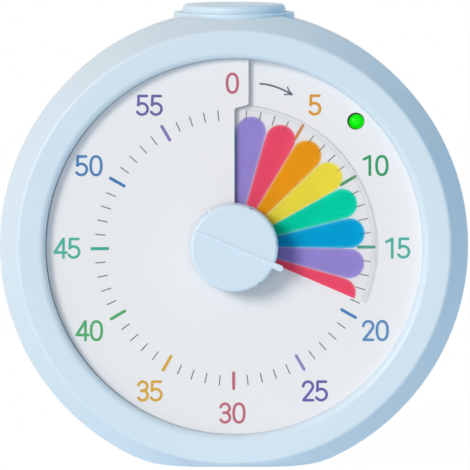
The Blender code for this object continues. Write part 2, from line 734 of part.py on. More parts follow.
def board_posts():
    middle = (MAIN_BOARD_LOW + MAIN_BOARD_HIGH) / 2
    return [(side * MAIN_BOARD_WIDTH / 3, above_table(middle)) for side in (-1, 1)]


def movement_spots():
    far = MOVEMENT_SCREW_SPOT
    return [(far, far), (-far, far), (-far, -far), (far, -far)]


def chassis_plate():
    chassis = plate("chassis_plate", [circle(CHASSIS_RADIUS, 48)], CHASSIS_DEPTH, CHASSIS_THICKNESS, plain_plastic)
    at_dial(chassis)
    join(chassis, rods("ears", boss_spots(), BOSS_RADIUS, CHASSIS_DEPTH, CHASSIS_BACK, steps=16))
    join(chassis, rods("dial_posts", dial_posts(), POST_RADIUS, 0.0, CHASSIS_BACK - SEAT_GAP, steps=8))
    join(chassis, rods("board_posts", board_posts(), 2 * POST_RADIUS, CHASSIS_DEPTH + SEAT_GAP,
                       MAIN_BOARD_DEPTH - SEAT_GAP, steps=12))
    cut(chassis, rods("ear_holes", boss_spots(), SCREW_RADIUS + SEAT_GAP, 0.0, SPLIT_DEPTH, steps=SMALL_STEPS))
    cut(chassis, rods("small_holes", movement_spots() + board_posts(), SMALL_SCREW_RADIUS + SEAT_GAP,
                      0.0, SPLIT_DEPTH, steps=SMALL_STEPS))
    cut(chassis, rods("lamp_passage", [polar(LAMP_RING, LAMP_ANGLE)], LAMP_RADIUS + 2.5 * SEAT_GAP,
                      0.0, SPLIT_DEPTH, steps=16))
    return cut(chassis, rods("shaft_passage", [(0.0, 0.0)], SHAFT_RADIUS + WALL, 0.0, SPLIT_DEPTH, steps=24))


def indicator_lamp():
    low, high = LAMP_TOP_DEPTH, LAMP_TOP_DEPTH + LAMP_LENGTH
    rim = LAMP_RADIUS + 1.5 * SEAT_GAP
    flange = high - LAMP_RADIUS / 2
    profile = arc(LAMP_RADIUS, 0.0, low + LAMP_RADIUS, -90, 0, 3)
    profile[0] = (0.0, low)
    profile += [(LAMP_RADIUS, flange), (rim, flange), (rim, high), (0.0, high)]
    lamp = at_dial(turned("indicator_lamp", profile, lamp_finish, 16), *polar(LAMP_RING, LAMP_ANGLE))
    leads = [(-LEAD_SPACING / 2, 0.0), (LEAD_SPACING / 2, 0.0)]
    return join(lamp, rods("lamp_leads", leads, LEAD_RADIUS, high - LAMP_RADIUS / 2,
                           MAIN_BOARD_DEPTH - SEAT_GAP, steps=6))


def gear_outline(teeth, addendum, tooth_angle):
    # Involute teeth, the first centred on an angle of the dial frame; flanks are thinned by the backlash.
    pitch = GEAR_MODULE * teeth / 2
    base = pitch * math.cos(math.radians(20))
    tip, root = pitch + addendum, pitch - DEDENDUM
    start = max(base, root)
    shares = (0.0, 1.0) if teeth > PINION_TEETH else (0.0, 0.5, 1.0)
    involute = math.tan(math.radians(20)) - math.radians(20)
    half_pitch = math.pi / (2 * teeth) - BACKLASH / (2 * pitch)
    flank = [(root, half_pitch + involute)] if root < base - BACKLASH else []
    for share in shares:
        radius = start + (tip - start) * share
        pressure = math.acos(min(1.0, base / radius))
        flank.append((radius, half_pitch + involute - math.tan(pressure) + pressure))
    points = []
    for i in range(teeth):
        middle = 2 * math.pi * i / teeth
        tooth = [(r, middle - half) for r, half in flank] + [(r, middle + half) for r, half in reversed(flank)]
        points += [polar(r, tooth_angle + math.degrees(turn)) for r, turn in tooth]
    return points


def gear_centres():
    # The two arbors, from the distances at which the wheels and pinions mesh.
    first = polar(GEAR_MODULE * (OUTPUT_TEETH + PINION_TEETH) / 2, INTERMEDIATE_ANGLE)
    step = polar(GEAR_MODULE * (WHEEL_TEETH + PINION_TEETH) / 2, ROTOR_ANGLE)
    return first, (first[0] + step[0], first[1] + step[1])


def wheel_depths():
    # Front faces of the output wheel, the intermediate wheel and the rotor's magnet.
    output = MOVEMENT_FRONT + MOVEMENT_WALL + 2 * SEAT_GAP
    wheel = output + WHEEL_THICKNESS + 3 * SEAT_GAP
    return output, wheel, wheel + WHEEL_THICKNESS + 5 * SEAT_GAP


def output_wheel():
    low = wheel_depths()[0]
    outlines = [gear_outline(OUTPUT_TEETH, WHEEL_ADDENDUM, INTERMEDIATE_ANGLE), circle(SHAFT_RADIUS + SEAT_GAP, 24)]
    return at_dial(plate("output_wheel", outlines, low, WHEEL_THICKNESS, gear_finish))


def clutch_spring():
    low = wheel_depths()[0] + WHEEL_THICKNESS + SEAT_GAP
    bore, rim = SHAFT_RADIUS + SEAT_GAP, SHAFT_RADIUS + WALL / 1.3
    thin = SEAT_GAP
    profile = [(bore, low + 2 * thin), (rim, low), (rim, low + thin), (bore, low + 3 * thin)]
    return at_dial(turned("clutch_spring", profile, steel, 24))


def intermediate_wheel():
    x, y = gear_centres()[0]
    low, wheel_low, _ = wheel_depths()
    opposite = INTERMEDIATE_ANGLE + 180 + 180 / PINION_TEETH
    wheel = plate("intermediate_wheel", [gear_outline(WHEEL_TEETH, WHEEL_ADDENDUM, ROTOR_ANGLE)],
                  wheel_low, WHEEL_THICKNESS, gear_finish)
    at_dial(wheel, x, y)
    pinion_low = low - SEAT_GAP
    join(wheel, plate("intermediate_pinion", [gear_outline(PINION_TEETH, PINION_ADDENDUM, opposite)],
                      pinion_low, wheel_low + SEAT_GAP - pinion_low))
    return join(wheel, rods("intermediate_arbor", [(0.0, 0.0)], ARBOR_RADIUS, MOVEMENT_FRONT + SEAT_GAP,
                            MOVEMENT_BACK + COVER_THICKNESS, steps=10))


def rotor():
    x, y = gear_centres()[1]
    _, wheel_low, magnet_low = wheel_depths()
    facing = ROTOR_ANGLE + 180 + 180 / PINION_TEETH
    turner = plate("rotor", [gear_outline(PINION_TEETH, PINION_ADDENDUM, facing)], wheel_low - SEAT_GAP / 2,
                   magnet_low + SEAT_GAP - wheel_low, gear_finish)
    at_dial(turner, x, y)
    join(turner, rods("magnet", [(0.0, 0.0)], MAGNET_RADIUS, magnet_low, magnet_low + 2 * STATOR_THICKNESS, steps=20))
    return join(turner, rods("rotor_arbor", [(0.0, 0.0)], ARBOR_RADIUS, MOVEMENT_FRONT + SEAT_GAP,
                             MOVEMENT_BACK + COVER_THICKNESS, steps=10))


def stator_depth():
    return wheel_depths()[2] + STATOR_THICKNESS / 2


def coil_middle():
    return -STATOR_THICKNESS * 2, -COIL_HEIGHT


def rectangle(low_x, low_y, high_x, high_y):
    return [(low_x, low_y), (high_x, low_y), (high_x, high_y), (low_x, high_y)]


def stator():
    # A laminated frame from the rotor's hole to the core that runs through the coil.
    rotor_x, rotor_y = gear_centres()[1]
    middle_x, middle_y = coil_middle()
    arm = 2 * STATOR_THICKNESS
    hole = MAGNET_RADIUS + 2 * SEAT_GAP
    low_x = middle_x - COIL_LENGTH / 2 - SEAT_GAP - arm
    high_x = rotor_x + hole
    low_y = rotor_y + hole
    window = rectangle(low_x + arm, low_y + arm, rotor_x - hole, middle_y - arm / 2)
    frame = plate("stator", [rectangle(low_x, low_y, high_x, middle_y + arm / 2), window],
                  stator_depth(), STATOR_THICKNESS, steel)
    at_dial(frame)
    join(frame, rods("stator_ring", [(rotor_x, rotor_y)], hole + arm, stator_depth(),
                     stator_depth() + STATOR_THICKNESS, steps=24))
    return cut(frame, rods("rotor_hole", [(rotor_x, rotor_y)], hole, MOVEMENT_FRONT, MOVEMENT_BACK, steps=24))


def coil():
    x, y = coil_middle()
    low = stator_depth() + STATOR_THICKNESS / 2
    cheek = COIL_RADIUS - 2 * SEAT_GAP
    ends = COIL_LENGTH / 2
    thick = STATOR_THICKNESS / 2
    profile = [(0.0, ends), (COIL_RADIUS, ends), (COIL_RADIUS, ends - thick), (cheek, ends - thick),
               (cheek, thick - ends), (COIL_RADIUS, thick - ends), (COIL_RADIUS, -ends), (0.0, -ends)]
    wound = turned("coil", profile, copper, 20)
    wound.location = (x, FRONT_Y + low, AXIS_HEIGHT - y)
    wound.rotation_euler = (0.0, math.pi / 2, 0.0)
    high = STATOR_THICKNESS + SEAT_GAP
    wide = STATOR_THICKNESS / 2 + SEAT_GAP
    return cut(wound, block("coil_bore", (-high, -wide, -2 * ends), (high, wide, 2 * ends)))


def movement_housing():
    half = MOVEMENT_SIDE / 2
    inner = half - MOVEMENT_WALL
    case = at_dial(block("movement_housing", (-half, -half, MOVEMENT_FRONT), (half, half, MOVEMENT_BACK),
                         movement_finish))
    floor = MOVEMENT_FRONT + MOVEMENT_WALL
    cut(case, block("movement_space", (-inner, -inner, floor), (inner, inner, MOVEMENT_BACK + WALL)))
    post_top = wheel_depths()[1] - 2 * SEAT_GAP
    join(case, rods("screw_posts", movement_spots(), 2 * POST_RADIUS, floor - SEAT_GAP, post_top, steps=12))
    cut(case, rods("screw_holes", movement_spots(), SMALL_SCREW_RADIUS + SEAT_GAP, 0.0, MOVEMENT_BACK,
                   steps=SMALL_STEPS))
    cut(case, rods("shaft_bearing", [(0.0, 0.0)], SHAFT_RADIUS + SEAT_GAP, 0.0, MOVEMENT_BACK, steps=24))
    return cut(case, rods("arbor_holes", list(gear_centres()), ARBOR_RADIUS + SEAT_GAP, 0.0, MOVEMENT_BACK,
                          steps=SMALL_STEPS))


def movement_cover():
    half = MOVEMENT_SIDE / 2
    low = MOVEMENT_BACK + SEAT_GAP
    outlines = [rectangle(-half, -half, half, half), circle(SHAFT_RADIUS + SEAT_GAP, 24)]
    outlines += [circle(ARBOR_RADIUS + SEAT_GAP, 12, *centre) for centre in gear_centres()]
    return at_dial(plate("movement_cover", outlines, low, COVER_THICKNESS, movement_finish))


def board_top():
    return BOSS_BOTTOM - SEAT_GAP


def plunger_top():
    return board_top() + SEAT_GAP + SWITCH_HEIGHT + SWITCH_HEIGHT / 4


def button_cap():
    top, radius, lip = BUTTON_TOP, BUTTON_RADIUS, BUTTON_RADIUS + BUTTON_LIP
    lip_low = LIP_TOP - BUTTON_LIP
    inner = radius - BUTTON_WALL
    foot = plunger_top() + BUTTON_TRAVEL + SEAT_GAP
    profile = [(0.0, foot), (STEM_RADIUS, foot), (STEM_RADIUS, top - BUTTON_WALL), (inner, top - BUTTON_WALL),
               (inner, lip_low), (lip, lip_low), (lip, LIP_TOP), (radius, LIP_TOP)]
    profile += arc(BUTTON_ROUND, radius - BUTTON_ROUND, top - BUTTON_ROUND, 0, 90, 3) + [(0.0, top)]
    return at_button(turned("button_cap", profile, button_finish))


def button_collar():
    bore = BUTTON_RADIUS + BUTTON_CLEAR
    soft = SEAT_GAP
    profile = [(bore, COLLAR_SEAT), (COLLAR_RADIUS, COLLAR_SEAT), (COLLAR_RADIUS, COLLAR_TOP - soft),
               (COLLAR_RADIUS - soft, COLLAR_TOP), (bore, COLLAR_TOP)]
    return at_button(turned("button_collar", profile, button_finish))


def coil_spring(name, radius, wire, length, turns, finish):
    # A round wire wound along local Z; the ends' centres lie one wire radius inside the length.
    steps = 8
    count = int(turns * steps)
    curve = bpy.data.curves.new(name, "CURVE")
    curve.dimensions = "3D"
    curve.bevel_depth = wire
    curve.bevel_resolution = 1
    curve.use_fill_caps = True
    spline = curve.splines.new("POLY")
    spline.points.add(count)
    for i, point in enumerate(spline.points):
        turn = 2 * math.pi * i / steps
        rise = wire + (length - 2 * wire) * i / count
        point.co = (radius * math.cos(turn), radius * math.sin(turn), rise, 1.0)
    return new_object(name, curve, finish)


def return_spring():
    low = board_top() + SEAT_GAP
    length = BUTTON_TOP - BUTTON_WALL - SEAT_GAP - low
    spring = coil_spring("return_spring", SPRING_RADIUS, SPRING_WIRE, length, SPRING_TURNS, steel)
    spring.location = (0.0, FRONT_Y + BUTTON_DEPTH, low)
    return spring


def board_screw_spots():
    x, y = BUTTON_BOARD_WIDTH / 2 - WALL, BUTTON_BOARD_DEPTH / 2 - WALL
    return [(x, y), (-x, -y)]


def button_board():
    top = board_top()
    x, y = BUTTON_BOARD_WIDTH / 2, BUTTON_BOARD_DEPTH / 2
    board = at_button(block("button_board", (-x, -y, top - BOARD_THICKNESS), (x, y, top), board_finish))
    return cut(board, rods("button_board_holes", board_screw_spots(), SMALL_SCREW_RADIUS + SEAT_GAP, 0.0,
                           BUTTON_TOP, steps=SMALL_STEPS))


def tact_switch():
    low = board_top() + SEAT_GAP
    half = SWITCH_SIDE / 2
    switch = at_button(block("tact_switch", (-half, -half, low), (half, half, low + SWITCH_HEIGHT), dark_plastic))
    return join(switch, rods("plunger", [(0.0, 0.0)], SWITCH_SIDE / 4, low + SEAT_GAP, plunger_top(), steps=16))


def main_board():
    half = MAIN_BOARD_WIDTH / 2
    low = (-half, above_table(MAIN_BOARD_HIGH), MAIN_BOARD_DEPTH)
    high = (half, above_table(MAIN_BOARD_LOW), MAIN_BOARD_DEPTH + BOARD_THICKNESS)
    board = at_dial(block("main_board", low, high, board_finish))
    return cut(board, rods("main_board_holes", board_posts(), SMALL_SCREW_RADIUS + SEAT_GAP, 0.0, BODY_DEPTH,
                           steps=SMALL_STEPS))


def screw(name, radius, head_radius, head_height, length, finish=None):
    # Head on top at local Z 0 and above, thread below.
    tip = radius / 2
    profile = [(0.0, head_height), (head_radius * 0.7, head_height), (head_radius, head_height * 0.6),
               (head_radius, 0.0), (radius, 0.0), (radius, tip - length), (tip, -length), (0.0, -length)]
    return turned(name, profile, finish or steel, SMALL_STEPS)


def screws():
    for i, (x, y) in enumerate(boss_spots()):
        fastener = screw(f"housing_screw_{i + 1}", SCREW_RADIUS, SCREW_HEAD_RADIUS, SCREW_HEAD_HEIGHT,
                         HOUSING_SCREW_LENGTH)
        fastener.location = (x, FRONT_Y + HOUSING_SCREW_DEPTH, AXIS_HEIGHT - y)
        fastener.rotation_euler = FACE_BACK
    for i, (x, y) in enumerate(movement_spots()):
        fastener = screw(f"movement_screw_{i + 1}", SMALL_SCREW_RADIUS, SMALL_HEAD_RADIUS, SMALL_HEAD_HEIGHT,
                         MOVEMENT_SCREW_LENGTH - 4 * SEAT_GAP)
        fastener.location = (x, FRONT_Y + CHASSIS_DEPTH - SEAT_GAP, AXIS_HEIGHT - y)
        fastener.rotation_euler = (math.pi / 2, 0.0, 0.0)
    for i, (x, y) in enumerate(board_posts()):
        fastener = screw(f"board_screw_{i + 1}", SMALL_SCREW_RADIUS, SMALL_HEAD_RADIUS, SMALL_HEAD_HEIGHT,
                         MOVEMENT_SCREW_LENGTH)
        fastener.location = (x, FRONT_Y + MAIN_BOARD_DEPTH + BOARD_THICKNESS + SEAT_GAP, AXIS_HEIGHT - y)
        fastener.rotation_euler = FACE_BACK
    for i, (x, y) in enumerate(board_screw_spots()):
        fastener = screw(f"button_board_screw_{i + 1}", SMALL_SCREW_RADIUS, SMALL_HEAD_RADIUS, SMALL_HEAD_HEIGHT,
                         BOARD_THICKNESS + WALL)
        fastener.location = (x, FRONT_Y + BUTTON_DEPTH + y, board_top() - BOARD_THICKNESS - SEAT_GAP)
        fastener.rotation_euler = (math.pi, 0.0, 0.0)


def cell_rows():
    # The lower and upper cell's height above the table, and their depth.
    low, high = bay_box()
    row = (high[1] - low[1]) / 2
    return (BAY_LOW + row / 2, BAY_LOW + row * 1.5), low[2] + SEAT_GAP + CELL_RADIUS


def batteries():
    rows, depth = cell_rows()
    nub_end = BAY_LENGTH / 2 - CONTACT_THICKNESS - 2 * SEAT_GAP
    end = nub_end - CELL_NUB
    soft = CELL_RADIUS / 12
    nub = CELL_RADIUS * 0.38
    for i, row in enumerate(rows):
        profile = [(0.0, nub_end), (nub, nub_end), (nub, end), (CELL_RADIUS - soft, end), (CELL_RADIUS, end - soft),
                   (CELL_RADIUS, end - CELL_LENGTH + soft), (CELL_RADIUS - soft, end - CELL_LENGTH),
                   (0.0, end - CELL_LENGTH)]
        cell = turned(f"battery_{i + 1}", profile, cell_finish, 20)
        cell.location = (0.0, FRONT_Y + depth, row)
        cell.rotation_euler = (0.0, math.pi / 2 if i == 0 else -math.pi / 2, 0.0)


def battery_contacts():
    rows, depth = cell_rows()
    y = FRONT_Y + depth
    wide = CELL_RADIUS * 0.8
    far = BAY_LENGTH / 2 - SEAT_GAP
    near = far - CONTACT_THICKNESS
    for name, side in (("contact_plate_left", -1), ("contact_plate_right", 1)):
        ends = sorted((side * far, side * near))
        block(name, (ends[0], y - wide, rows[0] - wide), (ends[1], y + wide, rows[1] + wide), steel)
    nub_end = near - SEAT_GAP
    length = nub_end - (CELL_LENGTH - nub_end + CELL_NUB) - SEAT_GAP
    for i, side in enumerate((-1, 1)):
        spring = coil_spring(f"contact_spring_{i + 1}", CELL_RADIUS / 2, SPRING_WIRE, length, 3, steel)
        spring.location = (side * nub_end, y, rows[i])
        spring.rotation_euler = (0.0, -side * math.pi / 2, 0.0)


def battery_door():
    # Turned about the round edge at its foot, from a side profile drawn in depth and height.
    low, high = bay_box()
    radius = DOOR_THICKNESS / 2
    foot = BAY_LOW - DOOR_MARGIN + SEAT_GAP + radius
    top = AXIS_HEIGHT - low[1] + DOOR_MARGIN - SEAT_GAP - foot
    side = BAY_LENGTH / 2 + DOOR_MARGIN - SEAT_GAP
    outline = arc(radius, 0.0, 0.0, 180, 360, 8) + [(radius, top), (-radius, top)]
    mesh = outline_mesh([outline], 2 * side)
    mesh.transform(Matrix.Rotation(math.pi / 2, 4, "Z") @ Matrix.Rotation(math.pi / 2, 4, "X")
                   @ Matrix.Translation((0.0, 0.0, -side)))
    door = new_object("battery_door", mesh, shell_finish)
    door.location = (0.0, FRONT_Y + BODY_DEPTH - radius, foot)
    for row in cell_rows()[0]:
        for x in (-CELL_LENGTH / 4, CELL_LENGTH / 4):
            rib = block("door_rib", (x - radius, -radius - DOOR_RIB, row - foot - CELL_RADIUS / 2),
                        (x + radius, -radius / 2, row - foot + CELL_RADIUS / 2))
            join(door, rib)
    for i in range(3):
        height = top - (i + 2) * DOOR_THICKNESS
        cut(door, block("grip_groove", (-CELL_RADIUS, radius * 0.5, height - DOOR_THICKNESS / 4),
                        (CELL_RADIUS, radius * 2, height + DOOR_THICKNESS / 4)))
    return door


def buzzer():
    place = (BUZZER_X, above_table(BUZZER_Z))
    high = BODY_DEPTH - WALL - SEAT_GAP
    case = at_dial(rods("buzzer", [(0.0, 0.0)], BUZZER_RADIUS, high - BUZZER_HEIGHT, high, dark_plastic, 32), *place)
    return cut(case, rods("buzzer_port", [(0.0, 0.0)], GRILLE_HOLE * 1.5, high - BUZZER_HEIGHT / 3,
                          BODY_DEPTH, steps=16))


def switch_size():
    # Half length and half width of the sound switch's body and of the slider's foot.
    half = SLIDER_TRAVEL + SLIDER_LENGTH
    return half, SLIDER_WIDTH


def sound_switch():
    half, wide = switch_size()
    x, y = SLIDER_X, above_table(SLIDER_Z)
    foot_high = BODY_DEPTH - WALL - SEAT_GAP
    foot_low = foot_high - SLIDER_WIDTH / 4
    high = foot_low - SEAT_GAP
    at_dial(block("switch_body", (x - half, y - wide, high - SWITCH_SIDE), (x + half, y + wide, high), dark_plastic))
    slide = at_dial(block("switch_slider", (-SLIDER_LENGTH / 2, -SLIDER_WIDTH / 2, foot_high - SEAT_GAP),
                          (SLIDER_LENGTH / 2, SLIDER_WIDTH / 2, BODY_DEPTH - SEAT_GAP), dark_plastic),
                    x - SLIDER_TRAVEL, y)
    reach = SLIDER_LENGTH / 2 + SLIDER_WIDTH / 4
    join(slide, block("slider_foot", (-reach, -SLIDER_WIDTH * 0.8, foot_low), (reach, SLIDER_WIDTH * 0.8, foot_high)))
    for i in (-1, 0, 1):
        middle = i * SLIDER_LENGTH / 3.6
        cut(slide, block("slider_groove", (middle - SEAT_GAP, -SLIDER_WIDTH, BODY_DEPTH - 3 * SEAT_GAP),
                         (middle + SEAT_GAP, SLIDER_WIDTH, BODY_DEPTH + WALL)))


def switch_frame(housing):
    # The wall on the rear shell that holds the switch body.
    half, wide = switch_size()
    x, y = SLIDER_X, above_table(SLIDER_Z)
    inner = rectangle(x - half - SEAT_GAP, y - wide - SEAT_GAP, x + half + SEAT_GAP, y + wide + SEAT_GAP)
    grow = SEAT_GAP + BAY_WALL
    outer = rectangle(x - half - grow, y - wide - grow, x + half + grow, y + wide + grow)
    low = BODY_DEPTH - WALL - SWITCH_SIDE
    join(housing, plate("switch_frame", [outer, inner], low, SWITCH_SIDE + WALL / 2))


for thing in list(bpy.data.objects):
    bpy.data.objects.remove(thing, do_unlink=True)

parts = new_collection("visual_timer")
cutters = new_collection("cutters")

shell_finish = new_material("Light blue ABS", (0.60, 0.76, 0.88), 0.45)
button_finish = new_material("Light blue ABS button", (0.66, 0.80, 0.92), 0.38)
knob_finish = new_material("Pale blue ABS knob", (0.66, 0.79, 0.90), 0.42)
pointer_finish = new_material("White blue ABS pointer", (0.80, 0.88, 0.95), 0.35)
dial_finish = new_material("White satin plastic", (0.82, 0.83, 0.84), 0.50)
film_finish = new_material("Clear film", (0.92, 0.94, 0.95), 0.15, 0.0, 0.35)
ink_finishes = [new_material("Petal ink " + name, colour, 0.30) for name, colour in (
    ("pink", (0.78, 0.08, 0.15)), ("purple", (0.28, 0.22, 0.62)), ("blue", (0.01, 0.33, 0.68)),
    ("teal", (0.01, 0.58, 0.43)), ("yellow", (0.73, 0.66, 0.08)), ("orange", (0.80, 0.31, 0.02)))]
plain_plastic = new_material("Natural ABS", (0.75, 0.75, 0.73), 0.50)
dark_plastic = new_material("Black ABS", (0.03, 0.03, 0.03), 0.50)
movement_finish = new_material("Black movement case", (0.05, 0.05, 0.055), 0.40)
gear_finish = new_material("White acetal", (0.80, 0.80, 0.78), 0.40)
lamp_finish = new_material("Green lamp lens", (0.02, 0.90, 0.05), 0.15)
steel = new_material("Nickel plated steel", (0.62, 0.62, 0.60), 0.30, 1.0)
copper = new_material("Copper winding", (0.75, 0.35, 0.16), 0.35, 1.0)
board_finish = new_material("Green circuit board", (0.02, 0.20, 0.08), 0.45)
cell_finish = new_material("Grey cell jacket", (0.35, 0.37, 0.40), 0.35)

front_housing()
switch_frame(rear_housing())
dial_plate()
petal_sheet()
disc_hub()
knob()
pointer_bar()
drive_shaft()
chassis_plate()
indicator_lamp()
movement_housing()
movement_cover()
output_wheel()
clutch_spring()
intermediate_wheel()
rotor()
stator()
coil()
main_board()
button_cap()
button_collar()
return_spring()
button_board()
tact_switch()
batteries()
battery_contacts()
battery_door()
buzzer()
sound_switch()
screws()
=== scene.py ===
# Visual timer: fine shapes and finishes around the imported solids.
# Metres, +Z up, dial towards -Y. Sizes in the dictionaries are in millimetres and degrees.
import math

import bmesh
import bpy
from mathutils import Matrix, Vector


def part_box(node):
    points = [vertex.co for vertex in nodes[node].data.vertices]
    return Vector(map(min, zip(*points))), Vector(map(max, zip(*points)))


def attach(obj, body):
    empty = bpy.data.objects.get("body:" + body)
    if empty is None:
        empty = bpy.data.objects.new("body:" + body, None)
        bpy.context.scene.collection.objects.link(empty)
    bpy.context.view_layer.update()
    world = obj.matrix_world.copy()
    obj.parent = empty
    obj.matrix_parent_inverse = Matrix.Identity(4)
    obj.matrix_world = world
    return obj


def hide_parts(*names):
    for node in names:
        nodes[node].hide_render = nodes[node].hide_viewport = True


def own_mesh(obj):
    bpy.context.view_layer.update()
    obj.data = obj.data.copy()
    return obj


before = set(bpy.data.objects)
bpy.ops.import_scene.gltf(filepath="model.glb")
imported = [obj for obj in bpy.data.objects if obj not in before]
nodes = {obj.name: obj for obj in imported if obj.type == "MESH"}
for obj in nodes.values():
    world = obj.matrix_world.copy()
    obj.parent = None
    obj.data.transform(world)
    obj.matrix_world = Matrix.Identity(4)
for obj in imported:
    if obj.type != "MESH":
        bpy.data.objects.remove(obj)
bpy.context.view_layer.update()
print("frame loaded:", len(nodes), "nodes")

mm = 0.001
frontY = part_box("front_housing")[0].y  # plane of the bezel
caseLow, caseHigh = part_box("movement_housing")
axisHeight = (caseLow.z + caseHigh.z) / 2  # the dial's axis
capLow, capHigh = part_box("button_cap")
buttonY = (capLow.y + capHigh.y) / 2

# small helpers


def linearColour(code):
    # An sRGB hex code as the linear RGBA that Blender's sockets take.
    parts = [int(code[i:i + 2], 16) / 255 for i in (1, 3, 5)]
    return tuple(c / 12.92 if c <= 0.04045 else ((c + 0.055) / 1.055) ** 2.4 for c in parts) + (1.0,)


def feed(tree, node, links):
    # Gives each named input a value, or the socket that feeds it.
    for socket, source in links.items():
        if isinstance(source, bpy.types.NodeSocket):
            tree.links.new(source, node.inputs[socket])
        else:
            node.inputs[socket].default_value = source


def addNode(tree, kind, links=None, **settings):
    # One node with its settings and inputs.
    node = tree.nodes.new(kind)
    for name, value in settings.items():
        setattr(node, name, value)
    feed(tree, node, links or {})
    return node


def calc(tree, operation, *values):
    # The result of one maths node.
    return addNode(tree, "ShaderNodeMath", dict(enumerate(values)), operation=operation).outputs[0]


def blend(tree, share, first, second):
    # The colour a share of the way from the first to the second.
    return addNode(tree, "ShaderNodeMix", {0: share, 6: first, 7: second}, data_type="RGBA").outputs[2]


def remap(tree, value, low, high, fromLow=0.0, fromHigh=1.0):
    # A value between two limits, spread between low and high.
    links = {"Value": value, "From Min": fromLow, "From Max": fromHigh, "To Min": low, "To Max": high}
    return addNode(tree, "ShaderNodeMapRange", links).outputs["Result"]


def noise(tree, place, scale, detail=1.0):
    links = {"Vector": place, "Scale": scale, "Detail": detail}
    return addNode(tree, "ShaderNodeTexNoise", links).outputs["Fac"]


def groupSocket(tree, name, kind, way="INPUT"):
    return tree.interface.new_socket(name, in_out=way, socket_type="NodeSocket" + kind).identifier


def dialPoint(x, up, depth):
    # Right, up from the dial's axis and back from the bezel, all in mm.
    return Vector((x * mm, frontY + depth * mm, axisHeight + up * mm))


def roundDial(radius, angle, depth):
    turn = math.radians(angle)
    return dialPoint(radius * math.sin(turn), radius * math.cos(turn), depth)


def addObject(name, data):
    thing = bpy.data.objects.new(name, data)
    bpy.context.scene.collection.objects.link(thing)
    return thing


def newPiece(name, points, faces, material):
    mesh = bpy.data.meshes.new(name)
    mesh.from_pydata([tuple(p) for p in points], [], faces)
    mesh.validate()
    mesh.materials.append(material)
    return addObject(name, mesh)


def meshFix(piece, mergeAt=1e-7):
    # Merges doubles, unless mergeAt is 0, and turns the faces outwards.
    shape = bmesh.new()
    shape.from_mesh(piece.data)
    if mergeAt > 0:
        bmesh.ops.remove_doubles(shape, verts=shape.verts, dist=mergeAt)
    bmesh.ops.recalc_face_normals(shape, faces=shape.faces)
    shape.to_mesh(piece.data)
    shape.free()
    return piece


def applyModifiers(piece):
    bpy.context.view_layer.update()
    graph = bpy.context.evaluated_depsgraph_get()
    mesh = bpy.data.meshes.new_from_object(piece.evaluated_get(graph))
    piece.modifiers.clear()
    piece.data = mesh
    return piece


def softEdges(piece, width, segments=2, angle=30):
    bevel = piece.modifiers.new("soft edges", "BEVEL")
    bevel.width = width * mm
    bevel.segments = segments
    bevel.limit_method = "ANGLE"
    bevel.angle_limit = math.radians(angle)
    bevel.harden_normals = False
    return applyModifiers(piece)


def smoothShade(piece, angle=32):
    # Smooth normals that keep flats flat.
    piece.data.shade_smooth()
    piece.data.set_sharp_from_angle(angle=math.radians(angle))
    weighted = piece.modifiers.new("even normals", "WEIGHTED_NORMAL")
    weighted.keep_sharp = True
    weighted.weight = 100
    return applyModifiers(piece)


def carve(piece, tool, operation="DIFFERENCE"):
    step = piece.modifiers.new("carve", "BOOLEAN")
    step.operation = operation
    step.object = tool
    step.solver = "EXACT"
    applyModifiers(piece)
    bpy.data.objects.remove(tool)
    return piece


def arcPath(centreX, centreY, radius, start, end, steps=18):
    # Degrees from +x towards +y, clockwise where end is less than start.
    turns = [math.radians(start + (end - start) * i / steps) for i in range(steps + 1)]
    return [(centreX + radius * math.cos(t), centreY + radius * math.sin(t)) for t in turns]


def roundedPath(corners, steps=6):
    # (x, y) or (x, y, radius) corners of an open path; each radius becomes an arc.
    path = []
    for i, corner in enumerate(corners):
        radius = corner[2] if len(corner) > 2 else 0.0
        if radius <= 0 or i in (0, len(corners) - 1):
            path.append((corner[0], corner[1]))
            continue
        here = Vector(corner[:2])
        back, ahead = Vector(corners[i - 1][:2]) - here, Vector(corners[i + 1][:2]) - here
        half = back.angle(ahead) / 2
        reach = min(radius / math.tan(half), 0.49 * back.length, 0.49 * ahead.length)
        radius = reach * math.tan(half)
        start = here + back.normalized() * reach
        end = here + ahead.normalized() * reach
        centre = here + (back.normalized() + ahead.normalized()).normalized() * radius / math.sin(half)
        a, b = start - centre, end - centre
        sweep = a.angle_signed(b)
        for k in range(steps + 1):
            turn = -sweep * k / steps
            path.append((centre.x + a.x * math.cos(turn) - a.y * math.sin(turn),
                         centre.y + a.x * math.sin(turn) + a.y * math.cos(turn)))
    return path


def turnedPiece(name, profile, material, steps=96, place=None, floors=None):
    # Turns a closed profile of (radius, along) points. place maps (radius, angle, along) to the world.
    place = place or roundDial
    points, faces = [], []
    count = len(profile)
    for i in range(steps):
        for k, (radius, along) in enumerate(profile):
            point = place(radius, 360.0 * i / steps, along)
            if floors and floors[k] is not None:
                point.z = softFloor(point.z / mm, floors[k]) * mm
            points.append(point)
    for i in range(steps):
        near, far = i * count, (i + 1) % steps * count
        for k in range(count):
            nextK = (k + 1) % count
            if profile[k][0] < 1e-6 and profile[nextK][0] < 1e-6:
                continue
            faces.append((near + k, near + nextK, far + nextK, far + k))
    return meshFix(newPiece(name, points, faces, material), 1e-6)


def slab(name, outline, low, high, material, place=dialPoint):
    # A straight prism of a 2-D outline between two depths.
    count = len(outline)
    points = [place(x, y, d) for d in (low, high) for x, y in outline]
    faces = [tuple(range(count)), tuple(range(2 * count - 1, count - 1, -1))]
    faces += [(i, (i + 1) % count, count + (i + 1) % count, count + i) for i in range(count)]
    return meshFix(newPiece(name, points, faces, material))


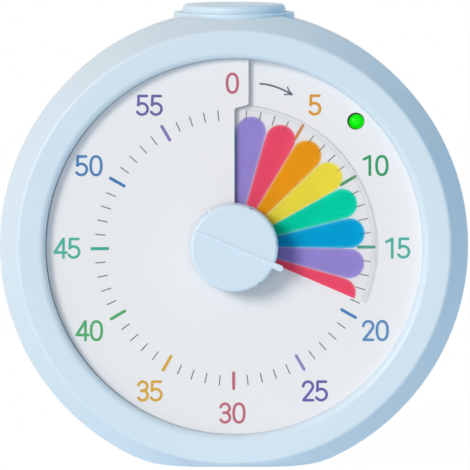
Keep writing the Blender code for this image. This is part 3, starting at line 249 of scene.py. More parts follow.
def boxOutline(lowX, lowY, highX, highY, radius=0.0, steps=5):
    # A rectangle from its lower left to its upper right corner, with rounded corners if a radius is given.
    outline = []
    for i, (sideX, sideY) in enumerate(((1, 1), (-1, 1), (-1, -1), (1, -1))):
        x = (highX if sideX > 0 else lowX) - sideX * radius
        y = (highY if sideY > 0 else lowY) - sideY * radius
        outline += arcPath(x, y, radius, 90 * i, 90 * i + 90, steps) if radius > 0 else [(x, y)]
    return outline


body = {
    "radius": 75.0, "bezelRadius": 69.3, "bezelRound": 1.4, "shoulderDepth": 9.4, "shoulderRound": 3.0,
    "draft": 0.030, "draftStart": 10.2, "wall": 2.5, "openingRadius": 60.3, "openingRound": 2.3,
    "wellWall": 2.2, "wellDepth": 10.0, "split": 25.0, "seam": 0.3, "seamRound": 0.35, "tongue": 1.1,
    "tongueLong": 1.6, "depth": 48.0, "rearRound": 5.0, "baseBlend": 3.0, "steps": 240, "lapRoom": 0.1,
    "shoulderInside": 10.6,
}


def softFloor(height, floor):
    # The larger of two heights in mm, blended where they meet, as the flat foot is.
    reach = body["baseBlend"]
    near = reach - abs(height - floor)
    return max(height, floor) + (near * near / (4 * reach) if near > 0 else 0.0)


def sideRadius(depth):
    return body["radius"] - body["draft"] * max(0.0, depth - body["draftStart"])


# finishes

colours = {
    "shell": "#d1e5f4", "button": "#cee8fa", "knob": "#d1e6f6", "pointer": "#d6eafb", "dial": "#e9ecf1",
    "tick": "#5f646b", "arrow": "#626c79", "film": "#eef1f3", "filmShadeLine": "#b9bfc6", "lamp": "#07fd09",
    "lampLens": "#019505", "black": "#17181a", "steel": "#c9c8c4", "copper": "#b5703c", "board": "#1d5b34",
    "acetal": "#e9e8e3", "natural": "#dedcd4", "cellJacket": "#8b9097",
}
petalInks = ("#ff89aa", "#cec3f3", "#00d6f5", "#00f2da", "#fff77e", "#ffd038")
numeralInks = ("#be6478", "#d9972a", "#2c9a66", "#48b0a0", "#5a8dc0", "#675fab",
               "#c0687c", "#d8a83a", "#50ad70", "#48b4a0", "#4a84ba", "#6a62a8")
tickInks = ("#be6478", "#cf8208", "#0a8f50", "#129a86", "#3f82c0", "#8f87c4",
            "#c0687c", "#d8a83a", "#50ad70", "#3fac98", "#3f7ab8", "#8078b8")


def newFinish(name):
    # A material with its tree, its shader and the place that its textures follow.
    material = bpy.data.materials.new(name)
    material.use_nodes = True
    tree = material.node_tree
    place = addNode(tree, "ShaderNodeTexCoord").outputs["Object"]
    return material, tree, tree.nodes["Principled BSDF"], place


def mouldedPlastic(name, colour, roughness=0.42, grain=0.35, relief=0.012, drift=0.02):
    # Moulded ABS from a spark-eroded tool: a fine even grain that breaks up the highlight,
    # with a very slight drift in colour and gloss over a few centimetres.
    material, tree, shader, place = newFinish(name)
    cloud, pits = noise(tree, place, 28.0, 2.0), noise(tree, place, 1 / (grain * mm))
    tone = linearColour(colour)[:3]
    darker, lighter = (tuple(min(c * s, 1.0) for c in tone) + (1.0,) for s in (1 - drift, 1 + drift))
    bump = addNode(tree, "ShaderNodeBump", {"Height": pits, "Strength": 0.35, "Distance": relief * mm})
    feed(tree, shader, {
        "Base Color": blend(tree, cloud, darker, lighter), "Normal": bump.outputs["Normal"], "IOR": 1.49,
        "Roughness": remap(tree, cloud, roughness - 0.04, roughness + 0.04, 0.3, 0.7)})
    return material


def printedInk(name, colour, roughness=0.5, paleShare=0.02):
    # Pad-printed ink on the dial: flat and matt, faintly mottled where it went on thinner.
    material, tree, shader, place = newFinish(name)
    tone = linearColour(colour)
    pale = tuple(c + (1 - c) * paleShare for c in tone)
    feed(tree, shader, {
        "Base Color": blend(tree, noise(tree, place, 900.0), tone, pale), "Roughness": roughness,
        "Specular IOR Level": 0.15})
    return material


def metalFinish(name, colour, roughness=0.3, brushed=0.25, stretch=8.0):
    # Plated sheet or drawn wire: bright, with fine draw lines a quarter of a millimetre apart.
    material, tree, shader, place = newFinish(name)
    drawn = addNode(tree, "ShaderNodeMapping", {"Vector": place, "Scale": (1.0, 1.0, stretch)})
    lines = noise(tree, drawn.outputs["Vector"], 1 / (brushed * mm * stretch), 2.0)
    feed(tree, shader, {
        "Base Color": linearColour(colour), "Metallic": 1.0,
        "Roughness": remap(tree, lines, roughness - 0.1, roughness + 0.1)})
    return material


def clearFilm(name, colour):
    # Rigid clear PET film: almost all of the white dial shows through. The grey at its edges is painted
    # shade, drawn as separate grey strips.
    material, tree, shader, place = newFinish(name)
    feed(tree, shader, {
        "Base Color": linearColour(colour), "Alpha": 0.05, "IOR": 1.57,
        "Roughness": remap(tree, noise(tree, place, 60.0), 0.12, 0.24)})
    return material


def petalPrint(name, opaque=0.18, paleShare=0.28):
    # Translucent screen-printed petals: the dial's ticks show through them, and a painted highlight whitens
    # each petal towards its edge.
    #     The faces store each petal's ink, and the points how much painted highlight they get near the edge.
    material, tree, shader, place = newFinish(name)
    ink = addNode(tree, "ShaderNodeAttribute", attribute_name="petalInk").outputs["Color"]
    edge = addNode(tree, "ShaderNodeAttribute", attribute_name="petalHighlight").outputs["Fac"]
    lift = remap(tree, noise(tree, place, 140.0, 2.0), 0.96, 1.06)
    mottledInk = addNode(tree, "ShaderNodeHueSaturation", {"Value": lift, "Color": ink}).outputs["Color"]
    # Painted highlight: the ink is mixed towards white near each petal's edge.
    tone = blend(tree, calc(tree, "MULTIPLY", edge, paleShare), mottledInk, linearColour("#ffffff"))
    feed(tree, shader, {"Base Color": tone, "Roughness": 0.45, "Specular IOR Level": 0.2})
    shadow = addNode(tree, "ShaderNodeLightPath").outputs["Is Shadow Ray"]
    through = addNode(tree, "ShaderNodeBsdfTransparent", {"Color": tone}).outputs["BSDF"]
    clear = addNode(tree, "ShaderNodeBsdfTransparent").outputs["BSDF"]
    lit = addNode(tree, "ShaderNodeMixShader", {0: opaque, 1: through, 2: shader.outputs["BSDF"]})
    mix = addNode(tree, "ShaderNodeMixShader", {0: shadow, 1: lit.outputs["Shader"], 2: clear})
    feed(tree, tree.nodes["Material Output"], {"Surface": mix.outputs["Shader"]})
    return material


def lampLens(name, light, lens, bright=0.80, dim=0.62):
    # Diffused epoxy lens of a lit green lamp: glows from inside, brighter where the chip is.
    material, tree, shader, place = newFinish(name)
    cell = addNode(tree, "ShaderNodeTexVoronoi", {"Vector": place, "Scale": 1500.0}).outputs["Distance"]
    feed(tree, shader, {
        "Base Color": linearColour(lens), "Roughness": 0.25, "Specular IOR Level": 0.18,
        "Emission Color": linearColour(light),
        "Emission Strength": remap(tree, cell, bright, dim, 0.0, 0.8)})
    return material


shellPlastic = mouldedPlastic("light blue moulded ABS", colours["shell"])
buttonPlastic = mouldedPlastic("light blue moulded ABS button", colours["button"], 0.38)
knobPlastic = mouldedPlastic("pale blue moulded ABS knob", colours["knob"], 0.40, 0.4, 0.016)
pointerPlastic = mouldedPlastic("white blue ABS pointer", colours["pointer"], 0.34)
dialPlastic = mouldedPlastic("white satin styrene dial", colours["dial"], 0.55, 0.5, 0.008, 0.008)
naturalPlastic = mouldedPlastic("natural ABS", colours["natural"], 0.5, 0.4)
blackPlastic = mouldedPlastic("black ABS", colours["black"], 0.48, 0.4)
gearPlastic = mouldedPlastic("white acetal", colours["acetal"], 0.35, 0.3, 0.006)
platedSteel = metalFinish("nickel plated steel", colours["steel"])
copperWire = metalFinish("enamelled copper winding", colours["copper"], 0.35, 0.12)
boardMask = mouldedPlastic("green solder mask", colours["board"], 0.35, 0.25, 0.006, 0.06)
cellJacket = mouldedPlastic("grey shrink jacket", colours["cellJacket"], 0.30, 0.2, 0.004, 0.03)
filmPlastic = clearFilm("clear PET film", colours["film"])
# Painted shade along the film's edges, made with the same flat ink.
filmEdgeShade = printedInk("painted shade at the film's edges", colours["filmShadeLine"], 0.3)
petalFinish = petalPrint("translucent screen print")
tickInk = printedInk("grey pad print", colours["tick"])
majorInks = [printedInk(f"coloured tick print {i * 5}", ink) for i, ink in enumerate(tickInks)]
arrowInk = printedInk("slate pad print", colours["arrow"])
dialInks = [printedInk(f"coloured pad print {i * 5}", ink) for i, ink in enumerate(numeralInks)]
lampGreen = lampLens("green diffused epoxy", colours["lamp"], colours["lampLens"])
print("finishes made")


# the two shells

button = {
    "collarRadius": 19.4, "collarSeat": 141.3, "collarTop": 145.3, "capRadius": 16.55, "capTop": 147.9,
    "capRound": 1.5, "capWall": 1.8, "lip": 1.4, "lipTop": 139.0, "gap": 0.4, "seatGap": 0.3, "steps": 160,
    "padHeight": 143.9, "padReach": 12.0, "padRise": 3.6, "padEdge": 0.3, "padLift": 0.06, "padStep": 0.15,
    "wellTop": 160.0, "wellFoot": 120.0, "travel": 1.5, "capDrop": 0.15, "crownShare": 0.6,
    "crownRound": 30.0, "collarInnerRound": 0.4, "collarRound": 0.6,
}


def roundButton(radius, angle, height):
    # Round the button's upright axis, height in mm above the table.
    turn = math.radians(angle)
    return Vector((radius * mm * math.sin(turn), buttonY + radius * mm * math.cos(turn), height * mm))


def buttonWell():
    # The room that the collar and the button's skirt need in both shells, with a shallow dish round it.
    seat, floor = button["collarRadius"] + button["seatGap"], button["collarSeat"] - button["seatGap"]
    skirt, dish = button["capRadius"] + button["lip"] + button["gap"], button["padHeight"]
    reach, top, foot = seat + button["padReach"], button["wellTop"], button["wellFoot"]
    return turnedPiece("well", [
        (0.0, top), (reach, top), (reach, dish + button["padRise"]),
        (seat + button["padEdge"], dish + button["padLift"]), (seat, dish - button["padStep"]),
        (seat, floor), (skirt, floor), (skirt, foot), (0.0, foot)],
        shellPlastic, button["steps"], roundButton)


def makeFrontShell():
    rim, wall, split, tongue = body["openingRadius"], body["wall"], body["split"], body["tongue"]
    radius, bezel, well = body["radius"], body["bezelRadius"], body["wellDepth"]
    edge, inside, step = sideRadius(split), rim + body["wellWall"], split + body["tongueLong"]
    outer = roundedPath([
        (rim, well), (rim, 0.0, body["openingRound"]), (bezel, 0.0, body["bezelRound"]),
        (radius, body["shoulderDepth"], body["shoulderRound"]), (edge, split, body["seamRound"]),
        (edge - tongue, split)])
    inner = [(edge - tongue, step), (edge - wall, step), (radius - wall, body["shoulderInside"]),
             (bezel - wall, wall), (inside, wall), (inside, well)]
    floors = [0.0] * (len(outer) - 1) + [tongue] * 2 + [wall] * 3 + [None] * 2
    shell = turnedPiece("front_shell", outer + inner, shellPlastic, body["steps"], floors=floors)
    carve(shell, buttonWell())
    smoothShade(shell)
    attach(shell, "case")
    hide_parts("front_housing")


rear = {
    "screwRing": 66.2, "screwAngles": (45, 135, 225, 315), "screwHead": 2.9, "screwHole": 1.7,
    "screwDepth": 39.7, "screwFront": 11.0, "screwTube": 4.0, "screwFoot": 12.6, "screwFlare": 0.5,
    "bayHalf": 28.5, "bayLow": 14.5, "bayHigh": 44.1, "bayFront": 30.0, "bayWall": 1.5, "doorThickness": 2.0,
    "doorMargin": 2.0, "recessRound": 0.8, "past": 9.0, "grilleX": -44.0, "grilleUp": 12.0, "grilleHole": 0.9,
    "grillePitch": 3.4, "grilleRows": 5, "slotX": 44.0, "slotUp": 12.0, "slotHalf": 5.8, "slotHigh": 2.1,
    "slotRound": 0.5,
}


def finishGroup(tree, shapes, finish):
    # Makes the instances real, gives them their finish and sends them out.
    real = addNode(tree, "GeometryNodeRealizeInstances", {"Geometry": shapes})
    dressed = addNode(tree, "GeometryNodeSetMaterial", {
        "Geometry": real.outputs["Geometry"], "Material": finish})
    addNode(tree, "NodeGroupOutput", {"Result": dressed.outputs["Geometry"]})


def placedCopies():
    # Puts a copy of one object on every point of this mesh, turned by the points' "turn" attribute.
    tree = bpy.data.node_groups.new("placed copies", "GeometryNodeTree")
    groupSocket(tree, "Points", "Geometry")
    copy, finish = groupSocket(tree, "Copy", "Object"), groupSocket(tree, "Finish", "Material")
    groupSocket(tree, "Result", "Geometry", "OUTPUT")
    given = addNode(tree, "NodeGroupInput").outputs
    turn = addNode(tree, "GeometryNodeInputNamedAttribute", {"Name": "turn"}, data_type="FLOAT_VECTOR")
    source = addNode(tree, "GeometryNodeObjectInfo", {"Object": given["Copy"]})
    euler = addNode(tree, "FunctionNodeEulerToRotation", {"Euler": turn.outputs["Attribute"]})
    placed = addNode(tree, "GeometryNodeInstanceOnPoints", {
        "Points": given["Points"], "Instance": source.outputs["Geometry"],
        "Rotation": euler.outputs["Rotation"]})
    finishGroup(tree, placed.outputs["Instances"], given["Finish"])
    return tree, copy, finish


copiesTree, copySocket, finishSocket = placedCopies()


def copiesPiece(name, copy, spots, turns, material):
    # spots are world points; turns are rotations in radians, one for each point.
    mesh = bpy.data.meshes.new(name)
    mesh.from_pydata([tuple(s) for s in spots], [], [])
    mesh.attributes.new("turn", "FLOAT_VECTOR", "POINT")
    for value, turn in zip(mesh.attributes["turn"].data, turns):
        value.vector = turn
    piece = addObject(name, mesh)
    step = piece.modifiers.new("placed copies", "NODES")
    step.node_group = copiesTree
    step[copySocket] = copy
    step[finishSocket] = material
    applyModifiers(piece)
    bpy.data.objects.remove(copy)
    if not piece.data.materials:
        piece.data.materials.append(material)
    return piece


def atOrigin(x, up, depth):
    # Beside the world's origin, for shapes that are copied into place.
    return Vector((x * mm, depth * mm, up * mm))


def aroundOrigin(radius, angle, depth):
    turn = math.radians(angle)
    return atOrigin(radius * math.sin(turn), radius * math.cos(turn), depth)


def rod(name, radius, low, high, steps=40, place=aroundOrigin):
    # A plain cylinder to carve or join with.
    profile = [(0.0, low), (radius, low), (radius, high), (0.0, high)]
    return turnedPiece(name, profile, shellPlastic, steps, place)


def carveAt(piece, tool, spots, operation="DIFFERENCE", turns=None):
    # Carves with a copy of the tool on each spot.
    turns = turns or [(0.0, 0.0, 0.0)] * len(spots)
    tools = copiesPiece("tools", tool, spots, turns, piece.data.materials[0])
    return carve(piece, tools, operation)


def screwSpots():
    return [roundDial(rear["screwRing"], angle, 0.0) for angle in rear["screwAngles"]]


def grilleSpots():
    # A hexagon of holes.
    spots, half, pitch = [], rear["grilleRows"] // 2, rear["grillePitch"]
    for row in range(-half, half + 1):
        count = rear["grilleRows"] - abs(row)
        for i in range(count):
            x = rear["grilleX"] + (i - (count - 1) / 2) * pitch
            spots.append(dialPoint(x, rear["grilleUp"] - row * pitch * math.sqrt(0.75), 0.0))
    return spots


def makeRearShell():
    start, wall, back = body["split"] + body["seam"], body["wall"], body["depth"]
    edge, corner = sideRadius(start), sideRadius(back - body["rearRound"])
    rebate = body["tongue"] - body["seam"] + body["lapRoom"]
    step = start + body["tongueLong"] + body["seam"]
    outer = roundedPath([
        (edge - rebate, start), (edge, start, body["seamRound"]), (corner, back, body["rearRound"]),
        (0.0, back)], 10)
    inner = roundedPath([
        (0.0, back - wall), (corner - wall, back - wall, body["rearRound"] - wall), (edge - wall, step),
        (edge - rebate, step)])
    floors = [rebate] + [0.0] * (len(outer) - 1) + [wall] * (len(inner) - 1) + [rebate]
    shell = turnedPiece("rear_shell", outer + inner, shellPlastic, body["steps"], floors=floors)
    carveAt(shell, rod("tube", rear["screwTube"], rear["screwFoot"], back - wall / 2), screwSpots(), "UNION")
    low, high, half = rear["bayLow"] - axisHeight / mm, rear["bayHigh"] - axisHeight / mm, rear["bayHalf"]
    grow, seat, past = rear["bayWall"], back - rear["doorThickness"], back + rear["past"]
    for name, more, bend, near, far, operation in (
            ("bay walls", grow, 0.0, rear["bayFront"] - grow, seat, "UNION"),
            ("bay", 0.0, rear["recessRound"], rear["bayFront"], past, "DIFFERENCE"),
            ("door recess", rear["doorMargin"], rear["recessRound"], seat, past, "DIFFERENCE")):
        outline = boxOutline(-half - more, low - more, half + more, high + more, bend)
        carve(shell, slab(name, outline, near, far, shellPlastic), operation)
    flare, hole, head, near = rear["screwFlare"], rear["screwHole"], rear["screwHead"], rear["screwFront"]
    carveAt(shell, turnedPiece("hole", [
        (0.0, near), (hole, near), (hole, rear["screwDepth"]), (head, rear["screwDepth"]),
        (head, back - flare), (head + 2 * flare, back + flare), (0.0, back + flare)],
        shellPlastic, 40, aroundOrigin), screwSpots())
    hole, near, flare = rear["grilleHole"], back - 2 * wall, rear["screwFlare"] / 2
    carveAt(shell, turnedPiece("bit", [
        (0.0, near), (hole, near), (hole, back - flare), (hole + 2 * flare, back + flare),
        (0.0, back + flare)], shellPlastic, 20, aroundOrigin), grilleSpots())
    x, up, half, high = rear["slotX"], rear["slotUp"], rear["slotHalf"], rear["slotHigh"]
    outline = boxOutline(x - half, up - high, x + half, up + high, rear["slotRound"])
    carve(shell, slab("slot", outline, near, past, shellPlastic))
    carve(shell, buttonWell())
    smoothShade(shell)
    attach(shell, "case")
    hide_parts("rear_housing")


makeFrontShell()
makeRearShell()
print("shells made")


# the helical dial and the film that winds out of it

helix = {
    "pitch": 2.0, "lowDepth": 6.0, "dialThickness": 1.0, "dialInner": 8.1, "dialOuter": 60.16,
    "underlap": 4.0, "overlap": 10.0, "dialColumns": 376, "settle": (0.1131, -0.065), "tabReach": 4.5,
    "tabRadius": 44.4, "tabRise": 1.2, "tabCorner": 0.9, "tabWidth": 24.0, "tabHigh": 90.0,
    "filmThickness": 0.4, "filmInner": 6.3, "filmOuter": 45.4, "filmTurn": 359.7, "filmColumns": 361,
    "gap": 0.3, "shown": 113.4, "innerShadeLine": 44.2, "rimHigh": 0.02, "rimThickness": 0.05,
}


def helixDepth(angle):
    return helix["lowDepth"] - helix["pitch"] * angle / 360


def filmDepth(angle):
    # The film's front face.
    return helixDepth(angle) - helix["gap"] - helix["filmThickness"]


def helicalPlate():
    # A flat ring wound up a screw: a grid whose columns turn and rise together, given a thickness.
    tree = bpy.data.node_groups.new("helical plate", "GeometryNodeTree")
    kinds = {
        "Float": ("Inner radius", "Outer radius", "Start", "Turn", "Depth at zero", "Pitch", "Thickness"),
        "Int": ("Columns", "Rows"), "Material": ("Finish",)}
    sockets = {name: groupSocket(tree, name, kind) for kind, names in kinds.items() for name in names}
    groupSocket(tree, "Result", "Geometry", "OUTPUT")
    given = addNode(tree, "NodeGroupInput").outputs
    grid = addNode(tree, "GeometryNodeMeshGrid", {
        "Size X": 1.0, "Size Y": 1.0, "Vertices X": given["Columns"], "Vertices Y": given["Rows"]})
    here = addNode(tree, "GeometryNodeInputPosition").outputs["Position"]
    share = addNode(tree, "ShaderNodeSeparateXYZ", {0: here}).outputs
    angle = calc(tree, "MULTIPLY_ADD", calc(tree, "ADD", share["X"], 0.5), given["Turn"], given["Start"])
    radius = addNode(tree, "ShaderNodeMapRange", {
        "Value": share["Y"], "From Min": -0.5, "From Max": 0.5, "To Min": given["Inner radius"],
        "To Max": given["Outer radius"]}, clamp=False).outputs["Result"]
    rise = calc(tree, "MULTIPLY", calc(tree, "DIVIDE", angle, 2 * math.pi), given["Pitch"])
    spot = addNode(tree, "ShaderNodeCombineXYZ", {
        "X": calc(tree, "MULTIPLY", radius, calc(tree, "SINE", angle)),
        "Y": calc(tree, "SUBTRACT", given["Depth at zero"], rise),
        "Z": calc(tree, "MULTIPLY_ADD", radius, calc(tree, "COSINE", angle), axisHeight)})
    wound = addNode(tree, "GeometryNodeSetPosition", {
        "Geometry": grid.outputs["Mesh"], "Position": spot.outputs["Vector"]}).outputs["Geometry"]
    push = addNode(tree, "ShaderNodeCombineXYZ", {"Y": given["Thickness"]}).outputs["Vector"]
    mottledInk = addNode(tree, "GeometryNodeExtrudeMesh", {
        "Mesh": wound, "Offset": push, "Offset Scale": 1.0, "Individual": False})
    front = addNode(tree, "GeometryNodeFlipFaces", {"Mesh": wound})
    both = addNode(tree, "GeometryNodeJoinGeometry")
    tree.links.new(mottledInk.outputs["Mesh"], both.inputs[0])
    tree.links.new(front.outputs["Mesh"], both.inputs[0])
    closed = addNode(tree, "GeometryNodeMergeByDistance", {
        "Geometry": both.outputs["Geometry"], "Distance": 1e-6})
    finishGroup(tree, closed.outputs["Geometry"], given["Finish"])
    return tree, sockets


plateTree, plateSockets = helicalPlate()


def woundPlate(name, inner, outer, start, turn, zeroDepth, thickness, columns, material):
    piece = newPiece(name, [(0, 0, 0)], [], material)
    step = piece.modifiers.new("helical plate", "NODES")
    step.node_group = plateTree
    values = {
        "Inner radius": inner * mm, "Outer radius": outer * mm, "Start": math.radians(start),
        "Turn": math.radians(turn), "Depth at zero": frontY + zeroDepth * mm, "Pitch": helix["pitch"] * mm,
        "Thickness": thickness * mm, "Columns": columns, "Rows": 2, "Finish": material}
    for label, value in values.items():
        step[plateSockets[label]] = value
    applyModifiers(piece)
    if not piece.data.materials:
        piece.data.materials.append(material)
    return meshFix(piece)


def makeDial():
    extra, under, gap = helix["overlap"], helix["underlap"], helix["gap"]
    dial = woundPlate("helical_dial", helix["dialInner"], helix["dialOuter"], -under, under + 360 + extra,
                      helix["lowDepth"], helix["dialThickness"], helix["dialColumns"], dialPlastic)
    reach, step, corner, wide = helix["tabReach"], helix["tabRadius"], helix["tabCorner"], helix["tabWidth"]
    outline = roundedPath([
        (0.0, 0.0), (0.0, step, corner), (reach, step + helix["tabRise"], corner), (reach, helix["tabHigh"]),
        (wide, helix["tabHigh"]), (wide, 0.0)])
    low, high = helixDepth(360 + extra) - gap, helixDepth(360) + helix["dialThickness"] + gap
    carve(dial, slab("seam", outline, low, high, dialPlastic))
    carve(dial, rod("lamp hole", lampSizes["hole"], 0.0, lampSizes["holeDepth"], 48, roundLamp))
    softEdges(dial, 0.12, 2, 50)
    smoothShade(dial, 40)
    right, up = helix["settle"]
    for corner in dial.data.vertices:  # it lies against the lower right of its well
        corner.co += Vector((right, 0.0, up)) * mm
    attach(dial, "case")
    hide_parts("dial_plate")


lampSizes = {
    "ring": 55.86, "angle": 44.03, "radius": 2.45, "hole": 2.75, "topDepth": 6.6, "rim": 2.9,
    "flangeDepth": 11.4, "backDepth": 12.6, "holeDepth": 12.0, "shadeRingInner": 2.42, "shadeRingDepth": 6.85,
    "shadeRingThick": 0.4, "shadeRingOff": 0.32,
}


def roundLamp(radius, angle, depth):
    turn, middle = math.radians(angle), math.radians(lampSizes["angle"])
    return dialPoint(lampSizes["ring"] * math.sin(middle) + radius * math.sin(turn),
                     lampSizes["ring"] * math.cos(middle) + radius * math.cos(turn), depth)


def roundShadeRing(radius, angle, depth):
    # A black ring of painted shade in the lamp's hole. Its hole sits a little low and to the right, so that a
    # dark crescent of shade shows at the upper left.
    off = lampSizes["shadeRingOff"] * mm if radius < lampSizes["hole"] else 0.0
    return roundLamp(radius, angle, depth) + Vector((off, 0.0, -off))


def makeLamp():
    sizes = lampSizes
    radius, rim, flange, back = sizes["radius"], sizes["rim"], sizes["flangeDepth"], sizes["backDepth"]
    dome = arcPath(0.0, sizes["topDepth"] + radius, radius, -90, 0, 10)
    lamp = turnedPiece("indicator_lens", dome + [(radius, flange), (rim, flange), (rim, back), (0.0, back)],
                       lampGreen, 48, roundLamp)
    smoothShade(lamp, 40)
    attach(lamp, "case")
    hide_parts("indicator_lamp")
    # Painted shade: this black ring stands in for the shade on the wall of the lamp's hole.
    inner, outer, top = sizes["shadeRingInner"], sizes["hole"] + sizes["shadeRingThick"], sizes["shadeRingDepth"]
    low = top + sizes["shadeRingThick"]
    shadeRing = turnedPiece("lamp_gasket", [(inner, top), (outer, top), (outer, low), (inner, low)],
                         blackPlastic, 48, roundShadeRing)
    smoothShade(shadeRing, 40)
    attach(shadeRing, "case")


def makeFilm():
    start, turn, columns = helix["shown"] - helix["filmTurn"], helix["filmTurn"], helix["filmColumns"]
    film = woundPlate("petal_film", helix["filmInner"], helix["filmOuter"], start, turn, filmDepth(0),
                      helix["filmThickness"], columns, filmPlastic)
    smoothShade(film, 40)
    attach(film, "sheet")
    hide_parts("petal_sheet")
    # Two grey strips of painted shade: one at the film's outer edge, and one just inside it where the edge's
    # shade falls.
    for name, radius, inward, outward in (("film_rim", helix["filmOuter"], 0.14, 0.02),
                                          ("film_inner_rim", helix["innerShadeLine"], 0.05, 0.05)):
        line = woundPlate(name, radius - inward, radius + outward, start, turn,
                          filmDepth(0) - helix["rimHigh"], helix["rimThickness"], columns, filmEdgeShade)
        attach(line, "sheet")


petal = {
    "count": 24, "tip": 42.0, "endRadius": 4.75, "inner": 7.9, "line": 0.06, "raise": 0.05,
    "thickness": 0.04, "highlightBand": 0.8, "across": 16, "outward": 10, "tipRows": 12,
}


def petalRows():
    # Radius and half width in mm of a petal's cross lines, from the hub to the rounded tip.
    half = math.radians(180 / petal["count"])
    centre = petal["tip"] - petal["endRadius"]
    rows = []
    for i in range(petal["outward"] + 1):
        radius = petal["inner"] + (centre - petal["inner"]) * i / petal["outward"]
        rows.append((radius, min(radius * math.tan(half) - petal["line"] / 2, petal["endRadius"])))
    width = rows[-1][1]
    for i in range(1, petal["tipRows"] + 1):
        turn = math.radians(90 * i / petal["tipRows"])
        rows.append((centre + petal["endRadius"] * math.sin(turn), max(width * math.cos(turn), 0.02)))
    return rows


def petalPatch(middle, lowShare, highShare):
    # One printed petal as a thin closed patch that follows the helix; the shares clip it to a half.
    columns = petal["across"]
    points, faces, highlightShares = [], [], []
    rows = petalRows()
    centre, wide = petal["tip"] - petal["endRadius"], rows[petal["outward"]][1]
    for lift in (petal["raise"], petal["raise"] - petal["thickness"]):
        for radius, half in rows:
            for k in range(columns + 1):
                side = half * (lowShare + (highShare - lowShare) * k / columns)
                angle = middle + math.degrees(math.atan2(side, radius))
                reach = math.hypot(radius, side)
                points.append(roundDial(reach, angle, filmDepth(angle) - lift))
                inside = half - abs(side)
                if radius > centre:
                    inside = wide * (1 - math.hypot((radius - centre) / petal["endRadius"], side / wide))
                # The painted highlight is strongest at the petal's edge and fades inwards.
                highlightShares.append(max(0.0, 1 - inside / petal["highlightBand"]))
    width = columns + 1
    layer = len(rows) * width
    for i in range(len(rows) - 1):
        for k in range(columns):
            a = i * width + k
            faces.append((a, a + 1, a + width + 1, a + width))
            faces.append((layer + a + width, layer + a + width + 1, layer + a + 1, layer + a))
    border = list(range(columns + 1))
    border += [i * width + columns for i in range(1, len(rows))]
    border += [(len(rows) - 1) * width + k for k in range(columns - 1, -1, -1)]
    border += [i * width for i in range(len(rows) - 2, 0, -1)]
    for a, b in zip(border, border[1:] + border[:1]):
        faces.append((a, layer + a, layer + b, b))
    return points, faces, highlightShares


def makePetals():
    points, faces, inks, highlightShares = [], [], [], []
    step = 360 / petal["count"]
    for k in range(petal["count"] + 1):
        low = -1.0 if k < petal["count"] else 0.0
        high = 1.0 if k > 0 else 0.0
        some, theirFaces, theirHighlights = petalPatch(helix["shown"] - k * step, low, high)
        start = len(points)
        points += some
        highlightShares += theirHighlights
        faces += [tuple(start + i for i in f) for f in theirFaces]
        inks += [linearColour(petalInks[k % len(petalInks)])] * len(theirFaces)
    petals = newPiece("printed_petals", points, faces, petalFinish)
    layer = petals.data.attributes.new("petalInk", "FLOAT_COLOR", "FACE")
    for value, ink in zip(layer.data, inks):
        value.color = ink
    petals.data.attributes.new("petalHighlight", "FLOAT", "POINT").data.foreach_set("value", highlightShares)
    meshFix(petals, 0)
    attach(petals, "sheet")


makeDial()
makeLamp()
makeFilm()
makePetals()
print("dial, lamp and petals made")


# what is printed on the dial

marks = {
    "numeralRadius": 52.9, "numeralX": -0.56, "numeralUp": -0.54, "height": 5.95, "stroke": 0.87,
    "ink": 0.03, "sunk": 0.01, "minorInner": 41.0, "minorOuter": 44.3, "minorWidth": 0.32, "majorInner": 40.1,
    "majorOuter": 45.1, "majorWidth": 1.0, "ticksX": -0.36, "ticksUp": -0.44, "ticksTurn": -0.3,
    "arrowStroke": 0.60,
}


def ovalPath(width, height, power=2.35, steps=48):
    path = []
    for i in range(steps):
        turn = 2 * math.pi * i / steps
        c, s = math.cos(turn), math.sin(turn)
        path.append((width / 2 + math.copysign(abs(c) ** (2 / power), c) * width / 2,
                     height / 2 + math.copysign(abs(s) ** (2 / power), s) * height / 2))
    return path


top = marks["height"]
# Each digit: width and gap after it in mm, then the pen's strokes; a closed stroke repeats no point.
digits = {
    "0": (3.38, 0.36, [ovalPath(3.38, top)]),
    "1": (1.85, 1.30, [[(0.0, top - 0.98), (1.85, top)], [(1.85, top), (1.85, 0.0)]]),
    "2": (3.08, 0.36, [arcPath(1.52, top - 1.55, 1.55, 178, -36) + [(1.5, 1.78), (0.08, 0.06)],
                       [(0.05, 0.0), (3.08, 0.0)]]),
    "3": (3.05, 0.30, [arcPath(1.46, top - 1.45, 1.45, 165, -88), [(0.95, top - 2.9), (1.5, top - 2.9)],
                       arcPath(1.45, 1.54, 1.56, 88, -152)]),
    "4": (3.70, 0.05, [[(2.72, top), (0.0, 1.60)], [(0.0, 1.60), (3.70, 1.60)],
                       [(2.80, top), (2.80, 0.0)]]),
    "5": (3.20, 0.36, [[(0.30, top), (2.95, top)], [(0.30, top), (0.20, 2.98)],
                       arcPath(1.40, 1.80, 1.80, 135, -148)]),
}


def ribs(path, half, closed):
    # The left and right edge of a pen stroke with round ends.
    edges, count = [], len(path)
    for i, (x, y) in enumerate(path):
        before = path[i - 1] if closed or i > 0 else path[i]
        after = path[(i + 1) % count] if closed or i < count - 1 else path[i]
        along = Vector((after[0] - before[0], after[1] - before[1])).normalized()
        edges.append((Vector((x, y)), along, half))
    if not closed:
        caps = [math.radians(a) for a in (86, 65, 43, 21)]
        (first, way, _), (last, farWay, _) = edges[0], edges[-1]
        edges = ([(first - way * half * math.sin(a), way, half * math.cos(a)) for a in caps] + edges
                 + [(last + farWay * half * math.sin(a), farWay, half * math.cos(a)) for a in reversed(caps)])
    return [(spot + Vector((-along.y, along.x)) * wide, spot - Vector((-along.y, along.x)) * wide)
            for spot, along, wide in edges]


